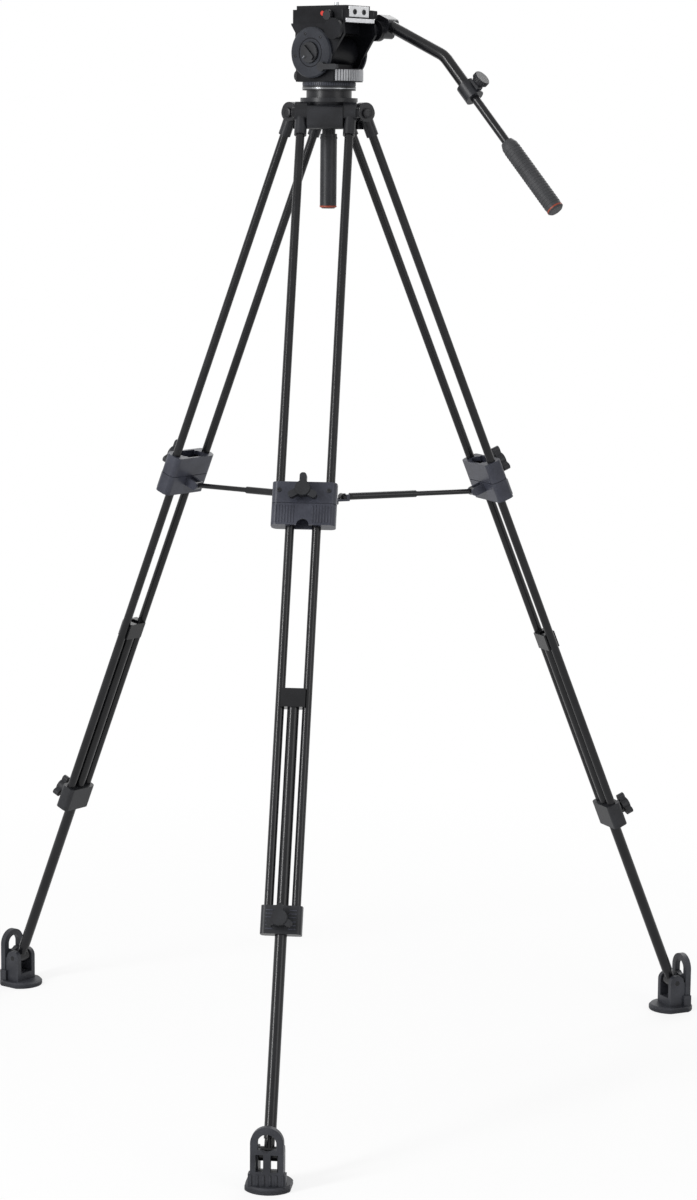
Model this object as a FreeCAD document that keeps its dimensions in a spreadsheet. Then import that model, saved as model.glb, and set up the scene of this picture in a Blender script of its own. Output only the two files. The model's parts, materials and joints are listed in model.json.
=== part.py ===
import FreeCAD, Part

import os
import re

import Sketcher

# Video tripod with a fluid head.
#
# World frame: the origin is on the ground under the tripod's axis, +Z is up and the front leg
# stands along -Y. Sub-parts are modelled in the frame of the assembly that carries them:
#   leg frame     origin at the leg's hinge, +Z up along the leg, +X along the hinge pin, -Y outward
#   foot frame    origin on the ground under the ankle, +Y toward the tripod's axis
#   arm frame     origin at the spreader's pivot on the collar, +Y toward the tripod's axis
#   head frame    the world frame turned about Z: +X to the operator's right, +Y toward the lens
#   bar frame     origin on the rosette's axis, -Y along the pan bar's first straight
#   grip frame    origin at the pan bar's corner, -Y along its second straight

Vector = FreeCAD.Vector
Rotation = FreeCAD.Rotation

SIZES = [
    # fits
    ("run_fit", 0.05, "radial clearance of a piece that turns or slides in another"),
    ("slide_fit", 0.3, "gap between faces that move past each other"),
    ("open_fit", 0.5, "gap of a guide in its passage"),
    # leg layout
    ("leg_angle", 22.7, "lean of a leg from the vertical, degrees"),
    ("hinge_radius", 41.9, "hinge pins from the tripod's axis"),
    ("hinge_height", 1455, "hinge pins above the ground"),
    ("ankle_height", 47.5, "ankle pivots above the ground"),
    ("upper_offset", 36.35, "upper tubes from the leg's centre line"),
    ("middle_offset", 19.35, "middle tubes from the leg's centre line"),
    ("tube_radius", 6.5, "upper and middle tubes"),
    ("tube_wall", 1.2, "upper and middle tubes"),
    ("lower_radius", 8.5, "lower tube"),
    ("lower_wall", 1.3, "lower tube"),
    # leg top
    ("lug_wide", 18.6, "end casting of an upper tube, along the hinge"),
    ("lug_radius", 13, "rounded end of the casting"),
    ("lug_rise", 3, "height of the rounded end's second centre"),
    ("socket_radius", 9.5, "socket below the hinge"),
    ("socket_deep", 36, "socket's lower end below the hinge"),
    ("socket_top", 14, "upper tube's end below the hinge"),
    ("bolt_radius", 4, "hinge bolt's shank"),
    ("bolt_head_radius", 7.5, "hinge bolt's head"),
    ("bolt_head_thick", 4, "hinge bolt's head"),
    ("bolt_root", 19, "hinge bolt's inner end from the leg's centre line"),
    # collar at the middle of the leg
    ("collar_drop", 607, "middle of the collar from the hinge, along the leg"),
    ("collar_wide", 93.4, ""),
    ("collar_thick", 27, ""),
    ("collar_tall", 64, ""),
    ("collar_corner", 9, "radius of the collar's upright edges"),
    ("collar_seat", 45, "depth of the upper tubes in the collar"),
    ("collar_seam", 1.2, "width and depth of the groove round the collar"),
    ("collar_arch", 9, "radius of the notch under the collar"),
    ("guide_drop", 891, "middle of the guide block from the hinge"),
    ("guide_wide", 35, ""),
    ("guide_thick", 20, ""),
    ("guide_tall", 27, ""),
    ("middle_lap", 25, "middle tubes above the collar's middle"),
    # lower clamp
    ("clamp_drop", 1206.5, "middle of the lower clamp from the hinge, along the leg"),
    ("clamp_wide", 58, ""),
    ("clamp_thick", 24, ""),
    ("clamp_tall", 40, ""),
    ("clamp_corner", 7, ""),
    ("clamp_seat", 36, "depth of the middle tubes in the clamp"),
    # lock knobs
    ("knob_stud", 4, "stud radius"),
    ("knob_stem", 6.5, "stem radius"),
    ("knob_stem_long", 9, ""),
    ("knob_head", 11, "radius of the head's boss"),
    ("knob_head_thick", 13, ""),
    ("knob_lobe", 23, "reach of a lobe of the collar knob"),
    ("knob_wing", 10, "width of a lobe"),
    ("collar_knob_rise", 17, "collar knob above the collar's middle"),
    ("clamp_knob_lobe", 20, "reach of a lobe of the clamp knob"),
    # foot
    ("sole_radius", 35, ""),
    ("sole_half", 31, "half width of the sole across the leg"),
    ("toe_half", 26, "half width of the block under the strap"),
    ("toe_top", 26, ""),
    ("sole_thick", 9, ""),
    ("sole_bevel", 2.5, ""),
    ("cage_half", 21, "half width of the foot's cheeks, over both"),
    ("cheek_thick", 8, ""),
    ("cheek_radius", 12.5, "rounded end of a cheek"),
    ("cage_back", 15, "strap's inner face, outward of the ankle"),
    ("strap_thick", 9, ""),
    ("strap_half", 23, "half width of the strap"),
    ("strap_top", 92, "top of the strap above the ground"),
    ("strap_bar", 10, "width of the strap around its hole"),
    ("loop_foot", 60, "lower end of the finger loop above the ground"),
    ("window_low", 29, ""),
    ("window_high", 53, ""),
    ("window_near", 5, "window's edge from the middle"),
    ("window_far", 15.5, ""),
    ("ankle_radius", 10, "eye at the lower tube's end"),
    ("ankle_half", 12.4, "half width of the eye"),
    ("ankle_pin", 4, "pin radius"),
    # spreader
    ("pivot_below", 9, "spreader pivot below the collar's middle, along the leg"),
    ("pivot_reach", 30, "spreader pivot inward of the leg's tubes"),
    ("hub_pivot", 28, "inner pivots from the tripod's axis"),
    ("eye_half", 5, "half width of the arm's eye"),
    ("eye_radius", 6.5, ""),
    ("ear_thick", 4, "ears of the collar's clevis"),
    ("arm_pin", 2.5, "pin radius of both pivots"),
    ("rod_radius", 3.9, "arm's rod"),
    ("rod_end", 117, "rod's free end from its pivot"),
    ("sleeve_radius", 5.4, "arm's tube, outside"),
    ("sleeve_start", 100, "tube's outer end from the collar's pivot"),
    ("sleeve_stop", 12, "tube's inner end from the hub's pivot"),
    ("sleeve_plug", 6, "solid end of the tube"),
    ("tongue_half", 5.4, "half thickness of the tongue"),
    ("tongue_radius", 5.2, ""),
    ("trunnion_half", 10.3, "half length of the trunnion pin"),
    ("hub_floor_radius", 20, ""),
    ("hub_floor_low", 10, "underside of the hub's floor below the pivots"),
    ("hub_floor_high", 6, "top of the hub's floor below the pivots"),
    ("hub_ear_near", 5.8, "inner face of a hub ear from the arm's plane"),
    ("hub_ear_far", 10.1, "outer face of a hub ear from the arm's plane"),
    ("hub_ear_start", 12, ""),
    ("hub_ear_past", 8, "hub ear's outer end past the pivots"),
    ("hub_ear_top", 4, "shoulder's top above the pivots"),
    # crown
    ("rim_height", 1477, "bowl's rim above the ground"),
    ("ball_radius", 37.5, "75 mm bowl"),
    ("bowl_wall", 4, ""),
    ("bowl_opening", 27, "hole in the bowl's floor"),
    ("rim_radius", 43, ""),
    ("rim_thick", 6, ""),
    ("skirt_radius", 38.5, ""),
    ("skirt_wall", 3, ""),
    ("crown_low", 1431, "underside of the crown above the ground"),
    ("crown_ear_top", 1466, ""),
    ("crown_ear_end", 57, "outer face of an ear from the axis"),
    ("crown_ear_round", 8, ""),
    # half ball and tie-down
    ("ball_flat", 27, "ball's flat underside below the rim"),
    ("neck_radius", 34, ""),
    ("neck_tall", 11, ""),
    ("flange_radius", 40, ""),
    ("flange_thick", 6, ""),
    ("boss_radius", 30, ""),
    ("boss_tall", 6.3, ""),
    ("spindle_radius", 10, ""),
    ("spindle_tall", 17, ""),
    ("stud_radius", 5, ""),
    ("stud_low", 1402, "stud's lower end above the ground"),
    ("cup_wall", 3.7, ""),
    ("cup_radius", 28, ""),
    ("handle_radius", 12.5, ""),
    ("handle_neck", 10, ""),
    ("handle_neck_tall", 7, ""),
    ("handle_low", 1313, "handle's lower end above the ground"),
    ("handle_round", 3, ""),
    # head
    ("head_turn", 58.3, "head panned from +X about the axis, degrees"),
    ("ring_radius", 39.5, ""),
    ("base_radius", 50, ""),
    ("base_half", 35.7, "half width of the pan base"),
    ("base_low", 1500.6, "underside of the pan base above the ground"),
    ("base_high", 1520, "top of the pan base"),
    ("tilt_height", 1543, "tilt axis above the ground"),
    ("barrel_radius", 26, ""),
    ("pedestal_half", 20, "half length of the pedestal"),
    ("axle_radius", 6, ""),
    ("drag_radius", 20, "drag cartridges"),
    ("drag_thick", 20, ""),
    ("coil_radius", 10.5, "balance spring"),
    ("coil_wire", 2, "radius of its wire"),
    ("coil_pitch", 6, ""),
    ("coil_sleeve", 9, ""),
    ("cheek_inner", 36, "inner face of a tilt cheek from the middle, less its gap"),
    ("tilt_cheek_thick", 4.7, ""),
    ("tilt_cheek_radius", 34, ""),
    ("bridge_low", 1572, "underside of the bridge over the barrel"),
    ("bridge_half", 28, "half length of the bridge"),
    ("carrier_low", 1586, "underside of the plate carrier"),
    ("carrier_high", 1606, "top of the carrier's rails"),
    ("carrier_half", 38, "half width of the carrier"),
    ("rail_half", 49, "outer face of the clamping rail"),
    ("rail_low", 1594, "underside of the clamping rail"),
    ("carrier_front", 42, ""),
    ("carrier_back", 56, ""),
    ("channel_floor", 1593.7, ""),
    ("plate_half", 25, "half width of the camera plate's foot"),
    ("plate_top_half", 29, ""),
    ("plate_front", 40, ""),
    ("plate_back", 53, ""),
    ("plate_step", 1606.3, ""),
    ("plate_top", 1612, "camera plate's top above the ground"),
    ("slot_half", 3.4, "half width of the camera screw's slot"),
    ("slot_front", 24, ""),
    ("slot_back", 40, ""),
    ("screw_radius", 3.175, "quarter inch camera screw"),
    ("screw_undercut", 0.5, "shank thinner than the thread, so the screw stays in its slot"),
    ("screw_rise", 6, "screw above the plate"),
    ("screw_head", 9, ""),
    ("screw_head_thick", 4, ""),
    ("screw_back", 13, "screw behind the tilt axis"),
    ("pocket_top", 1604.5, "top of the pocket for the screw's head"),
    ("cover_radius", 37.5, ""),
    ("cover_thick", 5.5, ""),
    ("cover_bevel", 2, ""),
    ("dial_radius", 15, ""),
    ("dial_thick", 4, ""),
    ("dial_bar_long", 27, ""),
    ("dial_bar_wide", 7, ""),
    ("dial_bar_thick", 4, ""),
    ("dial_turn", 45, "rest angle of the dial's bar, degrees"),
    ("lever_back", 24, "tilt lock behind the tilt axis"),
    ("lever_low", 21, "tilt lock below the tilt axis"),
    ("lever_hub", 7, ""),
    ("lever_long", 30, ""),
    ("lever_wide", 8, ""),
    ("lever_thick", 6, ""),
    ("rosette_back", 47, "rosette axis behind the tilt axis"),
    ("rosette_height", 1577, "rosette axis above the ground"),
    ("rosette_radius", 15.5, ""),
    ("rosette_thick", 6, ""),
    ("rosette_face", 54, "outer face of a rosette from the middle"),
    ("rosette_boss", 9, ""),
    ("small_stud", 3, "studs of the small knobs"),
    ("pan_knob_radius", 8, ""),
    ("pan_knob_long", 11, ""),
    ("pan_knob_height", 1510, ""),
    ("plate_knob_radius", 7, ""),
    ("plate_knob_long", 8, ""),
    ("plate_knob_back", 30, ""),
    ("plate_knob_height", 1597, ""),
    ("button_radius", 3.5, ""),
    ("button_long", 7, ""),
    ("button_proud", 2.5, ""),
    ("button_back", 17.6, ""),
    ("button_height", 1600, ""),
    ("button_bore_deep", 10, ""),
    # pan bar
    ("bar_angle", 24, "fall of the bar's first straight, degrees"),
    ("bar_bend", 23.5, "further fall of its second straight, degrees"),
    ("bar_radius", 9, ""),
    ("bar_bore", 6.55, ""),
    ("bar_side", 72, "bar from the head's middle plane"),
    ("bar_over", 12, "bar above the rosette's axis"),
    ("bar_start", 8, "bar's end ahead of the rosette's axis"),
    ("bar_first", 118, "rosette's axis to the bar's corner"),
    ("bar_second", 78, "corner to the bar's lower end"),
    ("bar_bend_radius", 40, ""),
    ("bar_rosette_thick", 5, ""),
    ("block_half", 13, "half length of the clamp block"),
    ("block_out", 84, "outer face of the clamp block"),
    ("block_over", 23, ""),
    ("block_under", 9, ""),
    ("bar_knob_radius", 9, ""),
    ("bar_knob_long", 8, ""),
    ("joint_radius", 14.5, ""),
    ("joint_start", 58, "bar joint from the corner"),
    ("joint_long", 26, ""),
    ("joint_ear_wide", 12, ""),
    ("joint_ear_long", 18, ""),
    ("joint_ear_top", 18, ""),
    ("joint_knob_radius", 12, ""),
    ("joint_knob_long", 12, ""),
    ("rod_lap", 40, "telescopic rod inside the bar"),
    ("rod_outer", 6.5, ""),
    ("rod_wall", 1.5, ""),
    ("grip_start", 171, "grip from the corner"),
    ("grip_long", 132, ""),
    ("grip_radius", 12.5, ""),
    ("grip_neck", 9.5, ""),
    ("grip_taper", 8, ""),
    ("grip_wall", 12, "closed end of the grip"),
]

LEGS = {"front": "-90", "right": "30", "left": "150"}

# places worked out from the driving sizes
ANKLE_DROP = "((hinge_height - ankle_height) / cos(leg_angle))"
ANKLE_REACH = f"(hinge_radius + {ANKLE_DROP} * sin(leg_angle))"
PIVOT_DROP = "(collar_drop + pivot_below)"
PIVOT_REACH = f"(hinge_radius + {PIVOT_DROP} * sin(leg_angle) - pivot_reach * cos(leg_angle))"
PIVOT_HEIGHT = f"(hinge_height - {PIVOT_DROP} * cos(leg_angle) - pivot_reach * sin(leg_angle))"
ARM_SPAN = f"({PIVOT_REACH} - hub_pivot)"
EAR_HALF = "(upper_offset - lug_wide / 2 - slide_fit)"
BOWL_OUTER = "(ball_radius + bowl_wall)"
COLLAR_TOP = "(collar_drop - collar_tall / 2)"
CHEEK_OUTER = "(cheek_inner + tilt_cheek_thick)"
BEND_TANGENT = "(bar_bend_radius * tan(bar_bend / 2))"

document = FreeCAD.newDocument("tripod_with_fluid_head")
sheet = document.addObject("Spreadsheet::Sheet", "Sizes")


def fill_sheet():
    """Write each driving size into its own named cell."""
    for row, (alias, value, note) in enumerate(SIZES, start=1):
        sheet.set(f"A{row}", alias)
        sheet.set(f"B{row}", str(value))
        sheet.set(f"C{row}", note)
        sheet.setAlias(f"B{row}", alias)
    document.recompute()


ALIASES = {alias for alias, _, _ in SIZES}


def bind(text):
    """An expression with each size's name turned into its cell."""
    return re.sub(
        r"\b[a-z][a-z_]*\b",
        lambda word: f"Sizes.{word.group()}" if word.group() in ALIASES else word.group(),
        str(text),
    )


def number(text):
    """The value of an expression, where a number is needed."""
    return float(sheet.evalExpression(bind(text)))


# ---------------------------------------------------------------- frames


def placement_text(x, y, z, axis, angle):
    """An expression for a placement: a turn about one axis, then a shift."""
    return (
        f"create(<<placement>>; create(<<vector>>; {x}; {y}; {z}); "
        f"create(<<rotation>>; create(<<vector>>; {axis}); {angle}))"
    )


def add_frame(name, text):
    """A named placement that sub-parts follow."""
    frame = document.addObject("App::Placement", name)
    frame.setExpression("Placement", bind(text))
    return frame


def add_frames():
    """Every assembly's frame."""
    frames = {"world": add_frame("world_frame", placement_text(0, 0, 0, "0; 0; 1", 0))}
    for side, azimuth in LEGS.items():
        turn = f"({azimuth} + 90)"
        lean = placement_text(0, 0, 0, "1; 0; 0", "-leg_angle")
        for kind, reach, height in (
            ("leg", "hinge_radius", "hinge_height"),
            ("foot", ANKLE_REACH, 0),
            ("arm", PIVOT_REACH, PIVOT_HEIGHT),
        ):
            x, y = f"{reach} * cos({azimuth})", f"{reach} * sin({azimuth})"
            text = placement_text(x, y, height, "0; 0; 1", turn)
            if kind == "leg":
                text += f" * {lean}"
            frames[f"{kind}_{side}"] = add_frame(f"{kind}_frame_{side}", text)
    head = placement_text(0, 0, 0, "0; 0; 1", "head_turn")
    bar = placement_text(0, "-rosette_back", "rosette_height", "1; 0; 0", "bar_angle")
    grip = placement_text("bar_side", "-bar_first", "bar_over", "1; 0; 0", "bar_bend")
    frames["head"] = add_frame("head_frame", head)
    frames["bar"] = add_frame("bar_frame", f"{head} * {bar}")
    frames["grip"] = add_frame("grip_frame", f"{head} * {bar} * {grip}")
    return frames


# ---------------------------------------------------------------- shapes

TURNS = {
    "X": Rotation(Vector(0, 1, 0), 90),
    "Y": Rotation(Vector(1, 0, 0), -90),
    "Z": Rotation(),
}


def place(item, at, rotation=None):
    """Put an object at a bound point."""
    item.Placement = FreeCAD.Placement(Vector(), rotation or Rotation())
    for letter, text in zip("xyz", at):
        item.setExpression(f"Placement.Base.{letter}", bind(text))
    return item


def box(name, low, high):
    """A block between two corners."""
    item = document.addObject("Part::Box", name)
    for side, start, end in zip(("Length", "Width", "Height"), low, high):
        item.setExpression(side, bind(f"({end}) - ({start})"))
    return place(item, low)


def rod(name, radius, start, end, at=(0, 0), axis="Z"):
    """A cylinder along one axis from start to end; at is its place across that axis."""
    item = document.addObject("Part::Cylinder", name)
    item.setExpression("Radius", bind(radius))
    item.setExpression("Height", bind(f"({end}) - ({start})"))
    point = {"X": (start, *at), "Y": (at[0], start, at[1]), "Z": (*at, start)}[axis]
    return place(item, point, TURNS[axis])


def cone(name, first, second, start, end, at=(0, 0), axis="Z"):
    """A cone along one axis, with its two end radii."""
    item = document.addObject("Part::Cone", name)
    item.setExpression("Radius1", bind(first))
    item.setExpression("Radius2", bind(second))
    item.setExpression("Height", bind(f"({end}) - ({start})"))
    point = {"X": (start, *at), "Y": (at[0], start, at[1]), "Z": (*at, start)}[axis]
    return place(item, point, TURNS[axis])


def sphere(name, radius, height):
    """A full sphere on the Z axis."""
    item = document.addObject("Part::Sphere", name)
    item.setExpression("Radius", bind(radius))
    return place(item, (0, 0, height))


def torus(name, ring, wire, at):
    """A ring about the X axis."""
    item = document.addObject("Part::Torus", name)
    item.setExpression("Radius1", bind(ring))
    item.setExpression("Radius2", bind(wire))
    return place(item, at, TURNS["X"])


def fuse(name, *items):
    item = document.addObject("Part::MultiFuse", name)
    item.Shapes = list(items)
    return item


def cut(name, base, *tools):
    item = document.addObject("Part::Cut", name)
    item.Base = base
    item.Tool = tools[0] if len(tools) == 1 else fuse(f"{name}_tools", *tools)
    return item


def common(name, *items):
    item = document.addObject("Part::MultiCommon", name)
    item.Shapes = list(items)
    return item


def group(name, *items):
    item = document.addObject("Part::Compound", name)
    item.Links = list(items)
    return item


def mirrored(name, item):
    """The same shape on the other side of the YZ plane."""
    mirror = document.addObject("Part::Mirroring", name)
    mirror.Source = item
    mirror.Normal = Vector(1, 0, 0)
    return mirror


def edges_along(item, axis, test=None):
    """The numbers of an object's straight edges along one axis, those that pass the test."""
    document.recompute()
    direction = {"X": Vector(1, 0, 0), "Y": Vector(0, 1, 0), "Z": Vector(0, 0, 1)}[axis]
    found = []
    for index, edge in enumerate(item.Shape.Edges, start=1):
        if edge.Curve.TypeId != "Part::GeomLine":
            continue
        along = (edge.Vertexes[-1].Point - edge.Vertexes[0].Point).normalize()
        if abs(along.dot(direction)) > 0.999 and (test is None or test(edge.CenterOfMass)):
            found.append(index)
    return found


def rounded(name, item, edges, radius):
    """Rounded edges."""
    fillet = document.addObject("Part::Fillet", name)
    fillet.Base = item
    fillet.Edges = [(index, number(radius), number(radius)) for index in edges]
    return fillet


def add_outline(body, role, outline):
    """A closed outline of straight lines, with each corner's place bound to the sheet."""
    sketch = body.newObject("Sketcher::SketchObject", f"{body.Name}_outline")
    plane = [item for item in body.Origin.OriginFeatures if item.Role == role][0]
    sketch.AttachmentSupport = (plane, [""])
    sketch.MapMode = "FlatFace"
    corners = [Vector(number(x), number(y), 0) for x, y in outline]
    count = len(corners)
    for index, corner in enumerate(corners):
        sketch.addGeometry(Part.LineSegment(corner, corners[(index + 1) % count]), False)
    for index in range(count):
        sketch.addConstraint(Sketcher.Constraint("Coincident", index, 2, (index + 1) % count, 1))
    for index, (corner, texts) in enumerate(zip(corners, outline)):
        for kind, value, text, axis in (
            ("DistanceX", corner.x, texts[0], -2),
            ("DistanceY", corner.y, texts[1], -1),
        ):
            if text == "0":
                sketch.addConstraint(Sketcher.Constraint("PointOnObject", index, 1, axis))
                continue
            number_of = sketch.addConstraint(Sketcher.Constraint(kind, -1, 1, index, 1, value))
            sketch.setExpression(f"Constraints[{number_of}]", bind(text))
    return sketch


def lathe(name, outline):
    """A solid of revolution about Z from (radius, height) corners."""
    body = document.addObject("PartDesign::Body", name)
    turned = body.newObject("PartDesign::Revolution", f"{name}_turned")
    sketch = add_outline(body, "XZ_Plane", outline)
    turned.Profile = sketch
    turned.ReferenceAxis = (sketch, ["V_Axis"])
    turned.Angle = 360
    body.Tip = turned
    return body


def plate(name, outline, start, thick):
    """A flat plate across X from (y, z) corners, its near face at x = start."""
    body = document.addObject("PartDesign::Body", name)
    sketch = add_outline(body, "YZ_Plane", outline)
    pad = body.newObject("PartDesign::Pad", f"{name}_pad")
    pad.Profile = sketch
    pad.setExpression("Length", bind(thick))
    body.Tip = pad
    return place(body, (start, "0", "0"))


# ---------------------------------------------------------------- crown


def make_crown():
    """The casting that carries the bowl and the three pairs of hinges."""
    outer_ball = sphere("bowl_outside", BOWL_OUTER, "rim_height")
    over = box(
        "over_the_rim",
        (f"-2 * {BOWL_OUTER}", f"-2 * {BOWL_OUTER}", "rim_height"),
        (f"2 * {BOWL_OUTER}", f"2 * {BOWL_OUTER}", f"rim_height + {BOWL_OUTER}"),
    )
    bowl = cut("bowl_half", outer_ball, over)
    rim = rod("bowl_rim", "rim_radius", "rim_height - rim_thick", "rim_height")
    skirt = rod("crown_skirt", "skirt_radius", "crown_low", "crown_ear_top")
    ears, holes = [], []
    for side, azimuth in LEGS.items():
        block = box(
            f"ear_block_{side}",
            (f"-{EAR_HALF}", "-crown_ear_end", "crown_low"),
            (EAR_HALF, "-skirt_radius + skirt_wall", "crown_ear_top"),
        )
        outer = edges_along(block, "X", lambda point: point.y < -number("skirt_radius"))
        smooth = rounded(f"ear_{side}", block, outer, "crown_ear_round")
        hole = rod(
            f"ear_hole_{side}",
            "bolt_radius",
            "bolt_root",
            f"{EAR_HALF} + 1",
            ("-hinge_radius", "hinge_height"),
            "X",
        )
        drill = group(f"ear_drill_{side}", hole, mirrored(f"ear_hole_far_{side}", hole))
        for item, kept in ((smooth, ears), (drill, holes)):
            turned = group(f"{item.Name}_set", item)
            turned.setExpression("Placement", bind(placement_text(0, 0, 0, "0; 0; 1", f"{azimuth} + 90")))
            kept.append(turned)
    casting = fuse("crown_casting", bowl, rim, skirt, *ears)
    seat = sphere("ball_seat", "ball_radius", "rim_height")
    well = rod("crown_well", "skirt_radius - skirt_wall", "crown_low - 1", "rim_height")
    chamber = cut("crown_chamber", well, outer_ball)
    opening = rod("bowl_hole", "bowl_opening", "crown_low - 1", "rim_height")
    return cut("crown_shape", casting, seat, chamber, opening, *holes)


def make_hinge_bolts():
    """Six bolts, two for each leg, screwed into the crown's ears."""
    bolts = []
    for side in LEGS:
        head_start = "upper_offset + lug_wide / 2 + slide_fit"
        shank = rod(f"bolt_shank_{side}", "bolt_radius", "bolt_root", head_start, axis="X")
        head = rod(
            f"bolt_head_{side}", "bolt_head_radius", head_start, f"{head_start} + bolt_head_thick", axis="X"
        )
        bolt = fuse(f"bolt_{side}", shank, head)
        pair = group(f"bolts_{side}", bolt, mirrored(f"bolt_far_{side}", bolt))
        pair.setExpression("Placement", f"leg_frame_{side}.Placement")
        bolts.append(pair)
    return group("bolt_set", *bolts)


# ---------------------------------------------------------------- legs


def both_sides(name, item):
    return group(name, item, mirrored(f"{name}_far", item))


def make_leg_lug():
    """The end casting of an upper tube: a rounded hinge lug over a socket."""
    inner, outer = "upper_offset - lug_wide / 2", "upper_offset + lug_wide / 2"
    low = rod("lug_round", "lug_radius", inner, outer, axis="X")
    high = rod("lug_round_top", "lug_radius", inner, outer, ("0", "lug_rise"), "X")
    web = box("lug_web", (inner, "-lug_radius", "0"), (outer, "lug_radius", "lug_rise"))
    socket = rod("lug_socket", "socket_radius - slide_fit", "-socket_deep", "0", ("upper_offset", "0"))
    casting = fuse("lug_casting", low, high, web, socket)
    pin = rod("lug_bore", "bolt_radius + run_fit", f"{inner} - 1", f"{outer} + 1", axis="X")
    seat = rod("lug_seat", "tube_radius", "-socket_deep - 1", "-socket_top", ("upper_offset", "0"))
    return both_sides("lug_pair", cut("lug_near", casting, pin, seat))


def make_tube_pair(name, offset, start, end):
    """Two round tubes, side by side along the leg."""
    outside = rod(f"{name}_outside", "tube_radius", start, end, (offset, "0"))
    inside = rod(f"{name}_inside", "tube_radius - tube_wall", f"{start} - 1", f"{end} + 1", (offset, "0"))
    return both_sides(f"{name}_pair", cut(f"{name}_near", outside, inside))


def upright_block(name, half_wide, half_thick, low, high, corner):
    """A block with rounded upright edges."""
    block = box(f"{name}_block", (f"-({half_wide})", f"-({half_thick})", low), (half_wide, half_thick, high))
    return rounded(f"{name}_smooth", block, edges_along(block, "Z"), corner)


def make_collar():
    """The collar that holds the upper tubes and guides the middle ones, with its spreader clevis."""
    low, high = "-collar_drop - collar_tall / 2", f"-{COLLAR_TOP}"
    shell = upright_block("collar", "collar_wide / 2", "collar_thick / 2", low, high, "collar_corner")
    ear_end = "pivot_reach + eye_radius"
    ears = []
    for name, start, end in (
        ("right", "eye_half + slide_fit", "eye_half + slide_fit + ear_thick"),
        ("left", "-eye_half - slide_fit - ear_thick", "-eye_half - slide_fit"),
    ):
        arm = box(
            f"clevis_arm_{name}",
            (start, "collar_thick / 2 - 1", f"-{PIVOT_DROP} - eye_radius"),
            (end, "pivot_reach", f"-{PIVOT_DROP} + eye_radius"),
        )
        end_round = rod(
            f"clevis_end_{name}", "eye_radius", start, end, ("pivot_reach", f"-{PIVOT_DROP}"), "X"
        )
        ears += [arm, end_round]
    body = fuse("collar_body", shell, *ears)
    seat_low = f"-{COLLAR_TOP} - collar_seat"
    seats = both_sides(
        "collar_seats", rod("collar_seat_near", "tube_radius", seat_low, f"{high} + 1", ("upper_offset", "0"))
    )
    guides = both_sides(
        "collar_guides",
        rod(
            "collar_guide_near",
            "tube_radius + run_fit",
            f"{low} - 1",
            f"{high} + 1",
            ("middle_offset", "0"),
        ),
    )
    half_wide, half_thick = "guide_wide / 2 + open_fit", "guide_thick / 2 + open_fit"
    passage = box(
        "collar_passage",
        (f"-({half_wide})", f"-({half_thick})", f"{low} - 1"),
        (half_wide, half_thick, f"{high} + 1"),
    )
    arch = rod("collar_arch_cut", "collar_arch", "-collar_thick", "0", ("0", low), "Y")
    groove_low = "-collar_drop - collar_seam / 2"
    around = box(
        "collar_groove_around",
        ("-collar_wide", "-collar_thick", groove_low),
        ("collar_wide", "collar_thick", f"{groove_low} + collar_seam"),
    )
    core = upright_block(
        "collar_groove",
        "collar_wide / 2 - collar_seam",
        "collar_thick / 2 - collar_seam",
        f"{groove_low} - 1",
        f"{groove_low} + collar_seam + 1",
        "collar_corner - collar_seam",
    )
    clevis_guard = box(
        "collar_groove_guard",
        ("-collar_wide", "collar_thick / 2", f"{groove_low} - 1"),
        ("collar_wide", "collar_thick * 2", f"{groove_low} + collar_seam + 1"),
    )
    groove = cut("collar_groove_ring", around, core, clevis_guard)
    pin_hole = rod(
        "clevis_hole", "arm_pin", "-collar_wide", "collar_wide", ("pivot_reach", f"-{PIVOT_DROP}"), "X"
    )
    stud_hole = rod(
        "collar_stud_hole",
        "knob_stud + run_fit",
        "-collar_thick",
        "0",
        ("0", "-collar_drop + collar_knob_rise"),
        "Y",
    )
    collar = cut("collar_shell", body, seats, guides, passage, arch, groove, pin_hole, stud_hole)
    pin_half = "eye_half + slide_fit + ear_thick"
    pin = rod(
        "clevis_pin", "arm_pin", f"-({pin_half})", pin_half, ("pivot_reach", f"-{PIVOT_DROP}"), "X"
    )
    return group("collar_and_pin", collar, pin)


def make_lobe_knob(name, face, height, reach):
    """A three-lobed knob on a stud, standing outward from a face at y = -face."""
    start = f"-({face}) - slide_fit"
    stem_end = f"{start} - knob_stem_long"
    head_end = f"{stem_end} - knob_head_thick"
    stud = rod(f"{name}_stud", "knob_stud", start, f"-({face}) + 2.5", axis="Y")
    stem = rod(f"{name}_stem", "knob_stem", stem_end, start, axis="Y")
    boss = rod(f"{name}_boss", "knob_head", head_end, stem_end, axis="Y")
    lobes = []
    for index in range(3):
        lobe = box(
            f"{name}_lobe_{index}",
            ("-knob_wing / 2", f"{head_end} + 1.5", "0"),
            ("knob_wing / 2", f"{stem_end} - 1", reach),
        )
        tip = edges_along(lobe, "Y", lambda point: point.z > 1)
        smooth = rounded(f"{name}_lobe_smooth_{index}", lobe, tip, "knob_wing / 2 - 0.5")
        turned = group(f"{name}_lobe_turned_{index}", smooth)
        turned.setExpression("Placement", bind(placement_text(0, 0, 0, "0; 1; 0", f"{index} * 120")))
        lobes.append(turned)
    knob = group(f"{name}_knob", fuse(f"{name}_knob_solid", stud, stem, boss, *lobes))
    return place(knob, ("0", "0", height))


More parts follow.
